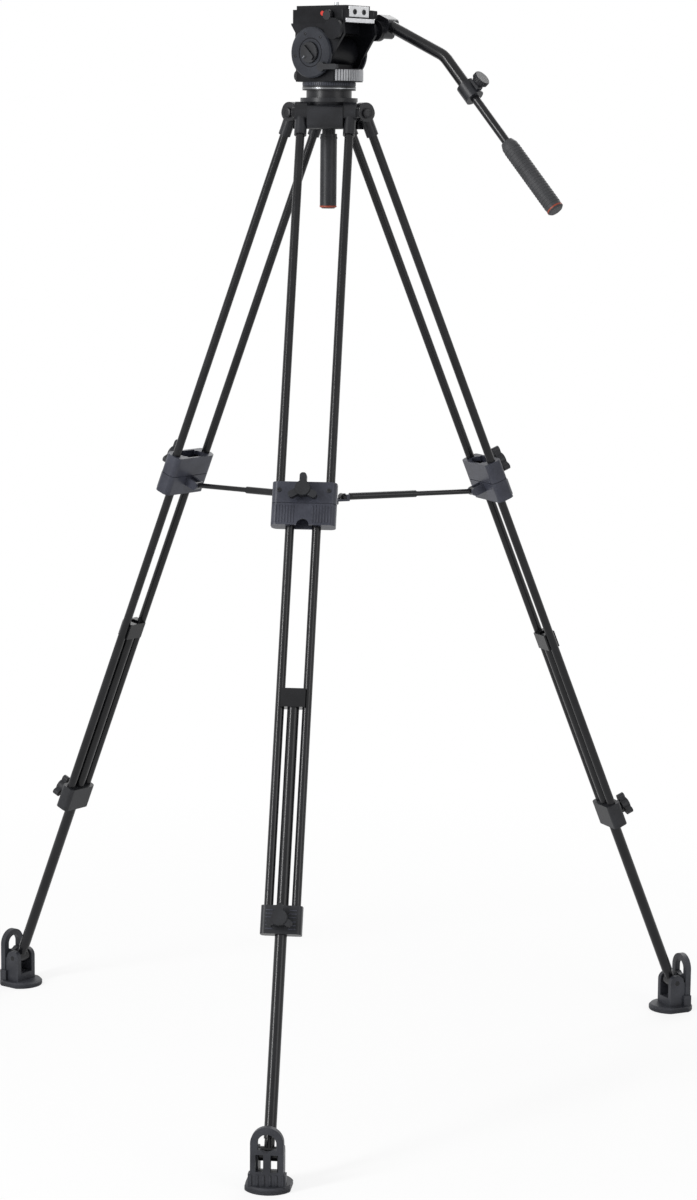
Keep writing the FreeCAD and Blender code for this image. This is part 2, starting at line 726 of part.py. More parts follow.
def make_lower_clamp():
    """The clamp at the end of the middle tubes that grips the lower tube."""
    low, high = "-clamp_drop - clamp_tall / 2", "-clamp_drop + clamp_tall / 2"
    shell = upright_block("clamp", "clamp_wide / 2", "clamp_thick / 2", low, high, "clamp_corner")
    seats = both_sides(
        "clamp_seats",
        rod("clamp_seat_near", "tube_radius", f"{high} - clamp_seat", f"{high} + 1", ("middle_offset", "0")),
    )
    bore = rod("clamp_bore", "lower_radius + run_fit", f"{low} - 1", f"{high} + 1")
    stud_hole = rod("clamp_stud_hole", "knob_stud + run_fit", "-clamp_thick", "0", ("0", "-clamp_drop"), "Y")
    return cut("clamp_shape", shell, seats, bore, stud_hole)


def make_lower_tube():
    """The lower tube, the guide block on its top and the ankle eye with its pin at its foot."""
    top, foot = "-guide_drop + guide_tall / 2", f"-{ANKLE_DROP}"
    tube_end = f"{foot} + 2 * ankle_radius"
    outside = rod("lower_outside", "lower_radius", tube_end, top)
    inside = rod("lower_inside", "lower_radius - lower_wall", f"{tube_end} - 1", f"{top} + 1")
    tube = cut("lower_pipe", outside, inside)
    block = box(
        "guide_block",
        ("-guide_wide / 2", "-guide_thick / 2", "-guide_drop - guide_tall / 2"),
        ("guide_wide / 2", "guide_thick / 2", top),
    )
    bore = rod("guide_bore", "lower_radius", "-guide_drop - guide_tall", f"{top} + 1")
    flutes = both_sides(
        "guide_flutes",
        rod(
            "guide_flute",
            "tube_radius + slide_fit",
            "-guide_drop - guide_tall",
            f"{top} + 1",
            ("middle_offset", "0"),
        ),
    )
    guide = cut("guide_shape", block, bore, flutes)
    plug = rod("ankle_plug", "lower_radius - lower_wall", foot, f"{tube_end} + 2 * ankle_radius")
    eye = rod("ankle_eye", "ankle_radius", "-ankle_half", "ankle_half", ("0", foot), "X")
    hole = rod("ankle_hole", "ankle_pin", "-2 * ankle_half", "2 * ankle_half", ("0", foot), "X")
    ankle = cut("ankle_shape", fuse("ankle_body", plug, eye), hole)
    pin = rod("ankle_pin_rod", "ankle_pin", "-cage_half", "cage_half", ("0", foot), "X")
    return group("lower_set", tube, guide, ankle, pin)


def make_foot():
    """The rubber foot: a round sole, two cheeks for the ankle and a strap with a finger loop."""
    sole = rod("foot_sole", "sole_radius", "0", "sole_thick - sole_bevel")
    bevel = cone(
        "foot_bevel", "sole_radius", "sole_radius - sole_bevel", "sole_thick - sole_bevel", "sole_thick"
    )
    trim = box("sole_sides", ("-sole_half", "-sole_radius", "0"), ("sole_half", "sole_radius", "sole_thick"))
    pad = common("foot_pad", fuse("foot_disc", sole, bevel), trim)
    strap_back = "-cage_back - strap_thick"
    toe = box("foot_toe", ("-toe_half", strap_back, "sole_thick - 1"), ("toe_half", "-cage_back + 4", "toe_top"))
    base = box(
        "foot_base",
        ("-cage_half", strap_back, "sole_thick - 1"),
        ("cage_half", "cheek_radius", "sole_thick + cheek_radius"),
    )
    cheeks = []
    for name, start, end in (
        ("right", "cage_half - cheek_thick", "cage_half"),
        ("left", "-cage_half", "cheek_thick - cage_half"),
    ):
        wall = box(
            f"foot_cheek_{name}",
            (start, "-cage_back - 1", "sole_thick"),
            (end, "cheek_radius", "ankle_height"),
        )
        crown_round = rod(
            f"foot_cheek_round_{name}", "cheek_radius", start, end, ("0", "ankle_height"), "X"
        )
        cheeks += [wall, crown_round]
    arch_height = "strap_top - strap_half"
    strap = box(
        "foot_strap", ("-strap_half", strap_back, "sole_thick - 1"), ("strap_half", "-cage_back", arch_height)
    )
    arch = rod("foot_arch", "strap_half", strap_back, "-cage_back", ("0", arch_height), "Y")
    solid = fuse("foot_solid", pad, toe, base, strap, arch, *cheeks)
    past = ("-cage_back - 2 * strap_thick", "-cage_back + 0.5")
    loop_round = rod("loop_round", "strap_half - strap_bar", *past, ("0", arch_height), "Y")
    loop_low = box(
        "loop_low",
        ("-strap_half + strap_bar", past[0], "loop_foot"),
        ("strap_half - strap_bar", past[1], arch_height),
    )
    window = box(
        "foot_window", ("window_near", past[0], "window_low"), ("window_far", past[1], "window_high")
    )
    windows = both_sides("foot_windows", window)
    pin = rod("foot_pin_hole", "ankle_pin + run_fit", "-2 * cage_half", "2 * cage_half", ("0", "ankle_height"), "X")
    return cut("foot_shape", solid, loop_round, loop_low, windows, pin)


# ---------------------------------------------------------------- spreader


def make_arm_rod():
    """The outer half of a spreader arm: an eye on the collar's pin and a round rod."""
    eye = rod("arm_eye", "eye_radius - slide_fit", "-eye_half", "eye_half", axis="X")
    shaft = rod("arm_shaft", "rod_radius", "0", "rod_end", axis="Y")
    hole = rod("arm_hole", "arm_pin + run_fit", "-2 * eye_half", "2 * eye_half", axis="X")
    return cut("arm_rod_shape", fuse("arm_rod_body", eye, shaft), hole)


def make_arm_sleeve():
    """The inner half: a tube over the rod, with a tongue and a trunnion pin at the hub."""
    inner_end = f"{ARM_SPAN} - sleeve_stop"
    outside = rod("sleeve_outside", "sleeve_radius", "sleeve_start", inner_end, axis="Y")
    bore = rod(
        "sleeve_bore", "rod_radius + run_fit", "sleeve_start - 1", f"{inner_end} - sleeve_plug", axis="Y"
    )
    pipe = cut("sleeve_pipe", outside, bore)
    tongue = box(
        "sleeve_tongue",
        ("-tongue_half", f"{inner_end} - sleeve_plug / 2", "-tongue_radius / 2"),
        ("tongue_half", ARM_SPAN, "tongue_radius / 2"),
    )
    end = rod("sleeve_eye", "tongue_radius", "-tongue_half", "tongue_half", (ARM_SPAN, "0"), "X")
    trunnion = rod("sleeve_trunnion", "arm_pin", "-trunnion_half", "trunnion_half", (ARM_SPAN, "0"), "X")
    return fuse("arm_sleeve_shape", pipe, tongue, end, trunnion)


def make_hub():
    """The spreader's centre: a floor with three pairs of ears whose ledges carry the trunnions."""
    floor = rod(
        "hub_floor",
        "hub_floor_radius",
        f"{PIVOT_HEIGHT} - hub_floor_low",
        f"{PIVOT_HEIGHT} - hub_floor_high",
    )
    ears = []
    ledge_top = f"{PIVOT_HEIGHT} - arm_pin - slide_fit"
    shoulder = "-hub_pivot - arm_pin - slide_fit"
    for side, azimuth in LEGS.items():
        ledge = box(
            f"hub_ledge_{side}",
            ("hub_ear_near", "-hub_pivot - hub_ear_past", f"{PIVOT_HEIGHT} - hub_floor_high"),
            ("hub_ear_far", "-hub_ear_start", ledge_top),
        )
        stop = box(
            f"hub_stop_{side}",
            ("hub_ear_near", "-hub_pivot - hub_ear_past", f"{PIVOT_HEIGHT} - hub_floor_high"),
            ("hub_ear_far", shoulder, f"{PIVOT_HEIGHT} + hub_ear_top"),
        )
        ear = fuse(f"hub_ear_{side}", ledge, stop)
        pair = both_sides(f"hub_ears_{side}", ear)
        pair.setExpression("Placement", bind(placement_text(0, 0, 0, "0; 0; 1", f"{azimuth} + 90")))
        ears.append(pair)
    return fuse("hub_shape", floor, *ears)


# ---------------------------------------------------------------- half ball and tie-down


def make_half_ball():
    """The levelling half ball with its neck, flange, pan spindle and tie-down stud."""
    ball = sphere("ball_sphere", "ball_radius - run_fit", "rim_height")
    over = box(
        "over_the_ball",
        ("-2 * ball_radius", "-2 * ball_radius", "rim_height"),
        ("2 * ball_radius", "2 * ball_radius", "rim_height + ball_radius"),
    )
    under = box(
        "under_the_ball",
        ("-2 * ball_radius", "-2 * ball_radius", "rim_height - 2 * ball_radius"),
        ("2 * ball_radius", "2 * ball_radius", "rim_height - ball_flat"),
    )
    flange_low = "rim_height + neck_tall"
    boss_top = f"{flange_low} + flange_thick + boss_tall"
    column = lathe(
        "ball_column",
        [
            ("0", "stud_low"),
            ("stud_radius", "stud_low"),
            ("stud_radius", "rim_height - ball_flat / 2"),
            ("neck_radius", "rim_height - ball_flat / 4"),
            ("neck_radius", flange_low),
            ("flange_radius", flange_low),
            ("flange_radius", f"{flange_low} + flange_thick"),
            ("boss_radius", f"{flange_low} + flange_thick"),
            ("boss_radius", boss_top),
            ("spindle_radius", boss_top),
            ("spindle_radius", f"{boss_top} + spindle_tall"),
            ("0", f"{boss_top} + spindle_tall"),
        ],
    )
    return fuse("half_ball_shape", cut("ball_slice", ball, over, under), column)


def make_tie_down():
    """The cup under the bowl and the long handle that draws the half ball down."""
    outside = sphere("cup_outside", f"{BOWL_OUTER} + slide_fit + cup_wall", "rim_height")
    inside = sphere("cup_inside", f"{BOWL_OUTER} + slide_fit", "rim_height")
    stock = rod("cup_stock", "cup_radius", "rim_height - 2 * ball_radius", "rim_height - bowl_opening")
    hole = rod("cup_hole", "stud_radius + run_fit", "stud_low", "rim_height")
    cup = cut("cup_shape", common("cup_blank", outside, stock), inside, hole)
    top = f"rim_height - {BOWL_OUTER} - cup_wall - 2 * slide_fit"
    handle = lathe(
        "handle_body",
        [
            ("stud_radius + run_fit", "stud_low - 2"),
            ("0", "stud_low - 2"),
            ("0", "handle_low"),
            ("handle_radius - handle_round", "handle_low"),
            ("handle_radius", "handle_low + handle_round"),
            ("handle_radius", f"{top} - handle_neck_tall"),
            ("handle_neck", f"{top} - handle_neck_tall"),
            ("handle_neck", top),
            ("stud_radius + run_fit", top),
        ],
    )
    return group("tie_down_set", cup, handle)


# ---------------------------------------------------------------- pan and tilt


def make_pan_ring():
    """The pan drag ring round the half ball's boss."""
    low = "rim_height + neck_tall + flange_thick + slide_fit"
    high = f"{low} - slide_fit + boss_tall"
    outside = rod("ring_outside", "ring_radius", low, high)
    inside = rod("ring_inside", "boss_radius + run_fit", f"{low} - 1", f"{high} + 1")
    return cut("ring_shape", outside, inside)


def make_pan_body():
    """The pan base, the pedestal and the cross barrel that holds the tilt drag."""
    disc = rod("base_disc", "base_radius", "base_low", "base_high")
    sides = box(
        "base_sides",
        ("-base_half", "-base_radius", "base_low"),
        ("base_half", "base_radius", "base_high"),
    )
    base = common("pan_base", disc, sides)
    pedestal = box(
        "pedestal",
        ("-base_half + 4", "-pedestal_half", "base_high - 1"),
        ("base_half - 4", "pedestal_half", "tilt_height"),
    )
    barrel = rod("barrel", "barrel_radius", "-base_half", "base_half", ("0", "tilt_height"), "X")
    casting = fuse("pan_casting", base, pedestal, barrel)
    spindle_top = "rim_height + neck_tall + flange_thick + boss_tall + spindle_tall + slide_fit"
    spindle = rod("spindle_bore", "spindle_radius + run_fit", "base_low - 1", spindle_top)
    chamber = rod("drag_chamber", "drag_radius", "-base_half - 1", "base_half + 1", ("0", "tilt_height"), "X")
    stud = rod(
        "pan_stud_hole", "small_stud + run_fit", "base_radius / 2 + 10", "base_radius + 1", ("0", "pan_knob_height"), "Y"
    )
    return cut("pan_shape", casting, spindle, chamber, stud)


def make_tilt_drag():
    """Inside the barrel: the tilt axle, a drag cartridge at each end and the balance spring."""
    at = ("0", "tilt_height")
    reach = f"{CHEEK_OUTER} - 0.5"
    axle = rod("tilt_axle", "axle_radius", f"-({reach})", reach, at, "X")
    ring = rod("drag_outside", "drag_radius", "base_half - drag_thick", "base_half", at, "X")
    hole = rod("drag_inside", "axle_radius", "base_half - 2 * drag_thick", "base_half + 1", at, "X")
    cartridges = both_sides("drag_cartridges", cut("drag_near", ring, hole))
    half = "(base_half - drag_thick - slide_fit)"
    sleeve = rod("coil_sleeve_rod", "coil_sleeve", f"-{half}", half, at, "X")
    coils = [
        torus(f"coil_{index}", "coil_radius", "coil_wire", (f"{index - 2} * coil_pitch", "0", "tilt_height"))
        for index in range(5)
    ]
    bore = rod("coil_bore", "axle_radius + run_fit", "-base_half", "base_half", at, "X")
    spring = cut("balance_spring", fuse("spring_body", sleeve, *coils), bore)
    return group("tilt_drag_set", axle, cartridges, spring)


def make_tilt_body():
    """The tilting cradle: two cheeks, the bridge over the barrel and the two bar rosettes."""
    inner = "cheek_inner"
    wall = plate(
        "cheek_wall",
        [
            ("tilt_cheek_radius", "tilt_height"),
            ("tilt_cheek_radius - 1", "bridge_low"),
            ("carrier_front - 1", "carrier_low - 2"),
            ("carrier_front - 1", "carrier_low"),
            ("-carrier_back", "carrier_low"),
            ("-carrier_back - 2", "bridge_low - 2"),
            ("-tilt_cheek_radius", "tilt_height - 8"),
        ],
        inner,
        "tilt_cheek_thick",
    )
    disc = rod("cheek_disc", "tilt_cheek_radius", inner, CHEEK_OUTER, ("0", "tilt_height"), "X")
    boss_at = ("-rosette_back", "rosette_height")
    boss = rod("rosette_boss_rod", "rosette_boss", inner, "rosette_face - 1", boss_at, "X")
    rosette = rod(
        "rosette_disc", "rosette_radius", "rosette_face - rosette_thick", "rosette_face", boss_at, "X"
    )
    half = fuse("cheek_half", wall, disc, boss, rosette)
    bridge = box(
        "bridge",
        (f"-{CHEEK_OUTER}", "-bridge_half", "bridge_low"),
        (CHEEK_OUTER, "bridge_half", "carrier_low"),
    )
    bore = rod("axle_bore", "axle_radius + run_fit", "-rosette_face", "rosette_face", ("0", "tilt_height"), "X")
    return cut("tilt_shape", fuse("tilt_casting", bridge, half, mirrored("cheek_half_far", half)), bore)


def make_side_cover():
    """A round cover over a cheek, with the bore for its dial, on the operator's right."""
    start = CHEEK_OUTER
    flat = rod("cover_flat", "cover_radius", start, f"{start} + cover_thick - cover_bevel", ("0", "tilt_height"), "X")
    bevel = cone(
        "cover_edge",
        "cover_radius",
        "cover_radius - cover_bevel",
        f"{start} + cover_thick - cover_bevel",
        f"{start} + cover_thick",
        ("0", "tilt_height"),
        "X",
    )
    dial_bore = rod(
        "cover_dial_bore", "small_stud + run_fit", f"{start} + 1", f"{start} + 2 * cover_thick", ("0", "tilt_height"), "X"
    )
    lever_bore = rod(
        "cover_lever_bore",
        "small_stud + run_fit",
        f"{start} + 1",
        f"{start} + 2 * cover_thick",
        ("-lever_back", "tilt_height - lever_low"),
        "X",
    )
    solid = fuse("cover_solid", flat, bevel)
    right = cut("cover_right", solid, dial_bore)
    left = mirrored("cover_left", cut("cover_with_lever", solid, dial_bore, lever_bore))
    return left, right


def make_dial():
    """A drag dial with a raised bar across it, on the operator's right."""
    face = f"({CHEEK_OUTER} + cover_thick)"
    stud = rod("dial_stud", "small_stud", f"{face} - cover_thick + 1.5", f"{face} + 1", axis="X")
    disc = rod("dial_disc", "dial_radius", f"{face} + slide_fit", f"{face} + dial_thick", axis="X")
    bar = box(
        "dial_bar",
        (f"{face} + dial_thick - 1", "-dial_bar_long / 2", "-dial_bar_wide / 2"),
        (f"{face} + dial_thick + dial_bar_thick", "dial_bar_long / 2", "dial_bar_wide / 2"),
    )
    smooth = rounded("dial_bar_smooth", bar, edges_along(bar, "X"), "dial_bar_wide / 2 - 0.5")
    dial = group("dial_shape", fuse("dial_solid", stud, disc, smooth))
    dial.setExpression("Placement", bind(placement_text(0, 0, "tilt_height", "1; 0; 0", "dial_turn")))
    return dial


def make_tilt_lever():
    """The tilt lock: a hub on the left cover with a paddle that points to the rear."""
    face = f"({CHEEK_OUTER} + cover_thick)"
    at = ("-lever_back", "tilt_height - lever_low")
    top = f"{face} + slide_fit + lever_thick"
    stud = rod("lever_stud", "small_stud", f"{face} - cover_thick + 1.5", f"{face} + 1", at, "X")
    hub = rod("lever_hub_rod", "lever_hub", f"{face} + slide_fit", top, at, "X")
    paddle = box(
        "lever_paddle",
        (f"{face} + 1", "-lever_back - lever_long", "tilt_height - lever_low - lever_wide / 2"),
        (top, "-lever_back", "tilt_height - lever_low + lever_wide / 2"),
    )
    smooth = rounded("lever_paddle_smooth", paddle, edges_along(paddle, "X"), "lever_wide / 2 - 0.5")
    return mirrored("lever_shape", fuse("lever_solid", stud, hub, smooth))


def make_pan_knob():
    """The pan lock knob at the front of the base."""
    at = ("0", "pan_knob_height")
    stud = rod("pan_stud", "small_stud", "base_radius / 2 + 11", "base_radius + 1", at, "Y")
    head = rod(
        "pan_head", "pan_knob_radius", "base_radius + slide_fit", "base_radius + slide_fit + pan_knob_long", at, "Y"
    )
    return fuse("pan_knob_shape", stud, head)


# ---------------------------------------------------------------- camera plate


def make_carrier():
    """The channel that the camera plate slides in, with its knob and button on the left."""
    block = box(
        "carrier_block",
        ("-carrier_half", "-carrier_back", "carrier_low"),
        ("carrier_half", "carrier_front", "carrier_high"),
    )
    smooth = rounded("carrier_smooth", block, edges_along(block, "Z"), "cover_bevel * 2")
    rail = box(
        "carrier_rail",
        ("carrier_half - 2", "-carrier_back + 4", "rail_low"),
        ("rail_half", "carrier_front - 8", "carrier_high"),
    )
    rail_smooth = rounded("carrier_rail_smooth", rail, edges_along(rail, "Y"), "cover_bevel")
    channel_half = "(plate_half + slide_fit)"
    channel = box(
        "carrier_channel",
        (f"-{channel_half}", "-2 * carrier_back", "channel_floor"),
        (channel_half, "2 * carrier_front", "carrier_high + 1"),
    )
    knob = rod(
        "plate_knob_bore",
        "small_stud + run_fit",
        "-carrier_half - 1",
        "-carrier_half + 9",
        ("-plate_knob_back", "plate_knob_height"),
        "X",
    )
    button = rod(
        "button_bore",
        "button_radius + run_fit",
        "-carrier_half - 1",
        "-carrier_half + button_bore_deep",
        ("-button_back", "button_height"),
        "X",
    )
    return cut("carrier_shape", fuse("carrier_solid", smooth, rail_smooth), channel, knob, button)


def make_camera_plate():
    """The sliding plate, with a slot and a pocket for the camera screw."""
    foot = box(
        "plate_foot",
        ("-plate_half", "-plate_back", "channel_floor + slide_fit"),
        ("plate_half", "plate_front", "plate_step"),
    )
    top = box(
        "plate_deck",
        ("-plate_top_half", "-plate_back", "plate_step"),
        ("plate_top_half", "plate_front", "plate_top"),
    )
    slot = box(
        "plate_slot", ("-slot_half", "-slot_back", "pocket_top - 1"), ("slot_half", "slot_front", "plate_top + 1")
    )
    pocket = box(
        "plate_pocket",
        ("-screw_head - slide_fit", "-slot_back - screw_head / 2", "channel_floor - 1"),
        ("screw_head + slide_fit", "slot_front + screw_head / 2", "pocket_top"),
    )
    return cut("plate_shape", fuse("plate_solid", foot, top), slot, pocket)


def make_camera_screw():
    """The quarter inch screw that holds the camera."""
    at = ("0", "-screw_back")
    head_top = "pocket_top - slide_fit"
    thread_start = "plate_top + slide_fit"
    shank = rod("screw_shank", "screw_radius - screw_undercut", head_top, thread_start, at)
    thread = rod("screw_thread", "screw_radius", thread_start, "plate_top + screw_rise", at)
    head = rod("screw_disc", "screw_head", f"{head_top} - screw_head_thick", head_top, at)
    return fuse("screw_shape", shank, thread, head)


def make_plate_knob():
    at = ("-plate_knob_back", "plate_knob_height")
    stud = rod("plate_stud", "small_stud", "-carrier_half - 1", "-carrier_half + 8", at, "X")
    start, end = "-carrier_half - slide_fit - plate_knob_long", "-carrier_half - slide_fit"
    return fuse("plate_knob_shape", stud, rod("plate_knob_head", "plate_knob_radius", start, end, at, "X"))


def make_button():
    start = "-carrier_half - button_proud"
    return rod("button_shape", "button_radius", start, f"{start} + button_long", ("-button_back", "button_height"), "X")


# ---------------------------------------------------------------- pan bar


def make_bar_clamp():
    """The toothed disc and block that hold the pan bar on the right rosette."""
    face = "(rosette_face + slide_fit)"
    disc = rod("bar_rosette", "rosette_radius", face, f"{face} + bar_rosette_thick", axis="X")
    block = box(
        "bar_block",
        (f"{face} + bar_rosette_thick - 1", "-block_half", "-block_under"),
        ("block_out", "block_half", "block_over"),
    )
    smooth = rounded("bar_block_smooth", block, edges_along(block, "X"), "block_half / 2")
    bore = rod("bar_block_bore", "bar_radius", "-2 * block_half", "2 * block_half", ("bar_side", "bar_over"), "Y")
    stud = rod("bar_block_stud", "small_stud + run_fit", "block_out - 8", "block_out + 1", axis="X")
    return cut("bar_clamp_shape", fuse("bar_clamp_solid", disc, smooth), bore, stud)


def make_bar_knob():
    stud = rod("bar_knob_stud", "small_stud", "block_out - 7", "block_out + 1", axis="X")
    start = "block_out + slide_fit"
    return fuse("bar_knob_shape", stud, rod("bar_knob_head", "bar_knob_radius", start, f"{start} + bar_knob_long", axis="X"))


def bent_bar(name, radius, extra):
    """Two straights and the tangent arc between them, round in section; extra lengthens both ends."""
    first = rod(
        f"{name}_first",
        radius,
        f"-bar_first + {BEND_TANGENT}",
        f"bar_start + {extra}",
        ("bar_side", "bar_over"),
        "Y",
    )
    arc = document.addObject("Part::Torus", f"{name}_arc")
    arc.setExpression("Radius1", bind("bar_bend_radius"))
    arc.setExpression("Radius2", bind(radius))
    arc.setExpression("Angle3", bind("bar_bend"))
    upright = Rotation(Vector(0, 0, 1), Vector(0, -1, 0), Vector(1, 0, 0), "XYZ")
    place(arc, ("bar_side", f"-bar_first + {BEND_TANGENT}", "bar_over - bar_bend_radius"), upright)
    straight = rod(
        f"{name}_straight", radius, f"-bar_second - {extra}", f"-{BEND_TANGENT}", axis="Y"
    )
    second = group(f"{name}_second", straight)
    lean = placement_text("bar_side", "-bar_first", "bar_over", "1; 0; 0", "bar_bend")
    second.setExpression("Placement", bind(lean))
    return fuse(f"{name}_bent", first, arc, second)


def make_pan_bar():
    """The bent tube of the pan bar."""
    return cut("pan_bar_shape", bent_bar("bar_outside", "bar_radius", "0"), bent_bar("bar_inside", "bar_bore", "1"))


def make_bar_joint():
    """The clamp on the bar's lower end that grips the telescopic rod."""
    start, end = "-joint_start - joint_long", "-joint_start"
    ring = rod("joint_ring", "joint_radius", start, end, axis="Y")
    middle = "(-joint_start - joint_long / 2)"
    ear = box(
        "joint_ear",
        ("-joint_ear_wide / 2", f"{middle} - joint_ear_long / 2", "0"),
        ("joint_ear_wide / 2", f"{middle} + joint_ear_long / 2", "joint_ear_top"),
    )
    smooth = rounded("joint_ear_smooth", ear, edges_along(ear, "X", lambda point: point.z > 1), "3")
    seat = rod("joint_seat", "bar_radius", "-bar_second", "1", axis="Y")
    bore = rod("joint_bore", "rod_outer + run_fit", f"{start} - 1", "1", axis="Y")
    stud = rod("joint_stud_hole", "small_stud + run_fit", "bar_radius + 2", "joint_ear_top + 1", ("0", middle))
    return cut("bar_joint_shape", fuse("bar_joint_solid", ring, smooth), seat, bore, stud)


def make_joint_knob():
    at = ("0", "(-joint_start - joint_long / 2)")
    stud = rod("joint_knob_stud", "small_stud", "bar_radius + 3", "joint_ear_top + 1", at)
    base = "joint_ear_top + slide_fit"
    neck = cone("joint_knob_neck", "joint_knob_radius - 3", "joint_knob_radius", base, f"{base} + 4", at)
    head = rod("joint_knob_head", "joint_knob_radius", f"{base} + 4", f"{base} + joint_knob_long", at)
    return fuse("joint_knob_shape", stud, neck, head)


def make_bar_rod():
    """The telescopic rod between the bar and the grip."""
    start = "-grip_start - grip_long + grip_wall"
    end = "-bar_second + rod_lap"
    outside = rod("rod_outside", "rod_outer", start, end, axis="Y")
    inside = rod("rod_inside", "rod_outer - rod_wall", f"{start} - 1", f"{end} + 1", axis="Y")
    return cut("bar_rod_shape", outside, inside)


def make_grip():
    """The rubber grip at the end of the bar."""
    far = "-grip_start - grip_long"
    neck = cone("grip_neck_cone", "grip_radius", "grip_neck", "-grip_start - grip_taper", "-grip_start", axis="Y")
    body = rod("grip_body", "grip_radius", f"{far} + 2", "-grip_start - grip_taper", axis="Y")
    end = cone("grip_end", "grip_radius - 2", "grip_radius", far, f"{far} + 2", axis="Y")
    bore = rod("grip_bore", "rod_outer", f"{far} + grip_wall", "1", axis="Y")
    return cut("grip_shape", fuse("grip_solid", neck, body, end), bore)


# ---------------------------------------------------------------- assembly


def keep(name, item, frame):
    """A finished sub-part: the shape carried into its frame, under the name of its node."""
    node = document.addObject("Part::Compound", f"node_{name}")
    node.Label = name
    node.Links = [item]
    node.setExpression("Placement", f"{frame.Name}.Placement")
    return node


def build(frames):
    """Every sub-part of the tripod and its head."""
    world, head, bar, grip = (frames[name] for name in ("world", "head", "bar", "grip"))
    left_cover, right_cover = make_side_cover()
    dial = make_dial()
    nodes = [
        keep("crown", make_crown(), world),
        keep("hinge_bolts", make_hinge_bolts(), world),
        keep("spreader_hub", make_hub(), world),
        keep("half_ball", make_half_ball(), head),
        keep("tie_down", make_tie_down(), head),
        keep("pan_drag_ring", make_pan_ring(), head),
        keep("pan_body", make_pan_body(), head),
        keep("tilt_drag_unit", make_tilt_drag(), head),
        keep("pan_lock_knob", make_pan_knob(), head),
        keep("tilt_body", make_tilt_body(), head),
        keep("left_cover", left_cover, head),
        keep("right_cover", right_cover, head),
        keep("tilt_drag_dial", mirrored("dial_left", dial), head),
        keep("balance_dial", dial, head),
        keep("tilt_lock_lever", make_tilt_lever(), head),
        keep("plate_carrier", make_carrier(), head),
        keep("camera_plate", make_camera_plate(), head),
        keep("camera_screw", make_camera_screw(), head),
        keep("plate_lock_knob", make_plate_knob(), head),
        keep("safety_button", make_button(), head),
        keep("bar_clamp", make_bar_clamp(), bar),
        keep("bar_clamp_knob", make_bar_knob(), bar),
        keep("pan_bar", make_pan_bar(), bar),
        keep("bar_joint", make_bar_joint(), grip),
        keep("bar_joint_knob", make_joint_knob(), grip),
        keep("bar_rod", make_bar_rod(), grip),
        keep("bar_grip", make_grip(), grip),
    ]
    collar_bottom = f"(-{COLLAR_TOP} - collar_seat)"
    clamp_seat = "(-clamp_drop + clamp_tall / 2 - clamp_seat)"
    knob_height = "(-collar_drop + collar_knob_rise)"
    leg_pieces = {
        "leg_lugs": (make_leg_lug(), "leg"),
        "upper_tubes": (make_tube_pair("upper", "upper_offset", collar_bottom, "-socket_top"), "leg"),
        "collar": (make_collar(), "leg"),
        "collar_knob": (make_lobe_knob("collar", "collar_thick / 2", knob_height, "knob_lobe"), "leg"),
        "middle_tubes": (
            make_tube_pair("middle", "middle_offset", clamp_seat, "-collar_drop + middle_lap"),
            "leg",
        ),
        "lower_clamp": (make_lower_clamp(), "leg"),
        "clamp_knob": (make_lobe_knob("clamp", "clamp_thick / 2", "(-clamp_drop)", "clamp_knob_lobe"), "leg"),
        "lower_tube": (make_lower_tube(), "leg"),
        "foot": (make_foot(), "foot"),
        "spreader_rod": (make_arm_rod(), "arm"),
        "spreader_tube": (make_arm_sleeve(), "arm"),
    }
    for side in LEGS:
        for name, (shape, kind) in leg_pieces.items():
            nodes.append(keep(f"{name}_{side}", shape, frames[f"{kind}_{side}"]))
    return nodes


def check(nodes):
    """Stop if any object failed or any sub-part isn't a valid solid."""
    for item in document.Objects:
        if "Invalid" in item.State or "Error" in item.State:
            raise RuntimeError(f"{item.Name} failed: {item.State}")
    for node in nodes:
        if node.Shape.isNull() or not node.Shape.isValid() or not node.Shape.Solids:
            raise RuntimeError(f"{node.Label} has no valid solid")


def main():
    fill_sheet()
    nodes = build(add_frames())
    document.recompute()
    check(nodes)
    os.makedirs("parts", exist_ok=True)
    for node in nodes:
        node.Shape.exportStep(os.path.join("parts", f"{node.Label}.step"))


main()
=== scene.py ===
"""Looks of a video tripod with a fluid head: finishes, small fittings, camera, floor and light."""

import json
import logging
import math
from collections.abc import Callable
from dataclasses import dataclass, field
from enum import Enum

import bmesh
import bpy
from mathutils import Matrix, Vector

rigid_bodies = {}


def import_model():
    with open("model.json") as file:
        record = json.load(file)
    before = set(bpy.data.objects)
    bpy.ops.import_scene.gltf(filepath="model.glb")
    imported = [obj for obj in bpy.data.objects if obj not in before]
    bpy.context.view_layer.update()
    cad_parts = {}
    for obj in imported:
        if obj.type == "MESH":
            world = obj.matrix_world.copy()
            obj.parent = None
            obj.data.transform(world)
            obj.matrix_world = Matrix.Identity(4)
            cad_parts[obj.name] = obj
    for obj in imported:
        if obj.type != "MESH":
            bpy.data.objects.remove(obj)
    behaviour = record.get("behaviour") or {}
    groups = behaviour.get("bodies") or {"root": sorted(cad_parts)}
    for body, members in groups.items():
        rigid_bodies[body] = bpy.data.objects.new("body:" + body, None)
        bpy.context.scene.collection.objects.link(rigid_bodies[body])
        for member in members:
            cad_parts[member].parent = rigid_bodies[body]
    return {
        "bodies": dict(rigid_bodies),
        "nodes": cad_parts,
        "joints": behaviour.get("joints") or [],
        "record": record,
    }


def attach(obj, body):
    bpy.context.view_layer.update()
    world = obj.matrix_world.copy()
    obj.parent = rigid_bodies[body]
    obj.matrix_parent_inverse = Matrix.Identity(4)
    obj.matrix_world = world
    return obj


LOG = logging.getLogger("tripod")
MM = 0.001
SIDES = ("front", "right", "left")
WHITE = (1.0, 1.0, 1.0, 1.0)
UP = Vector((0.0, 0.0, 1.0))

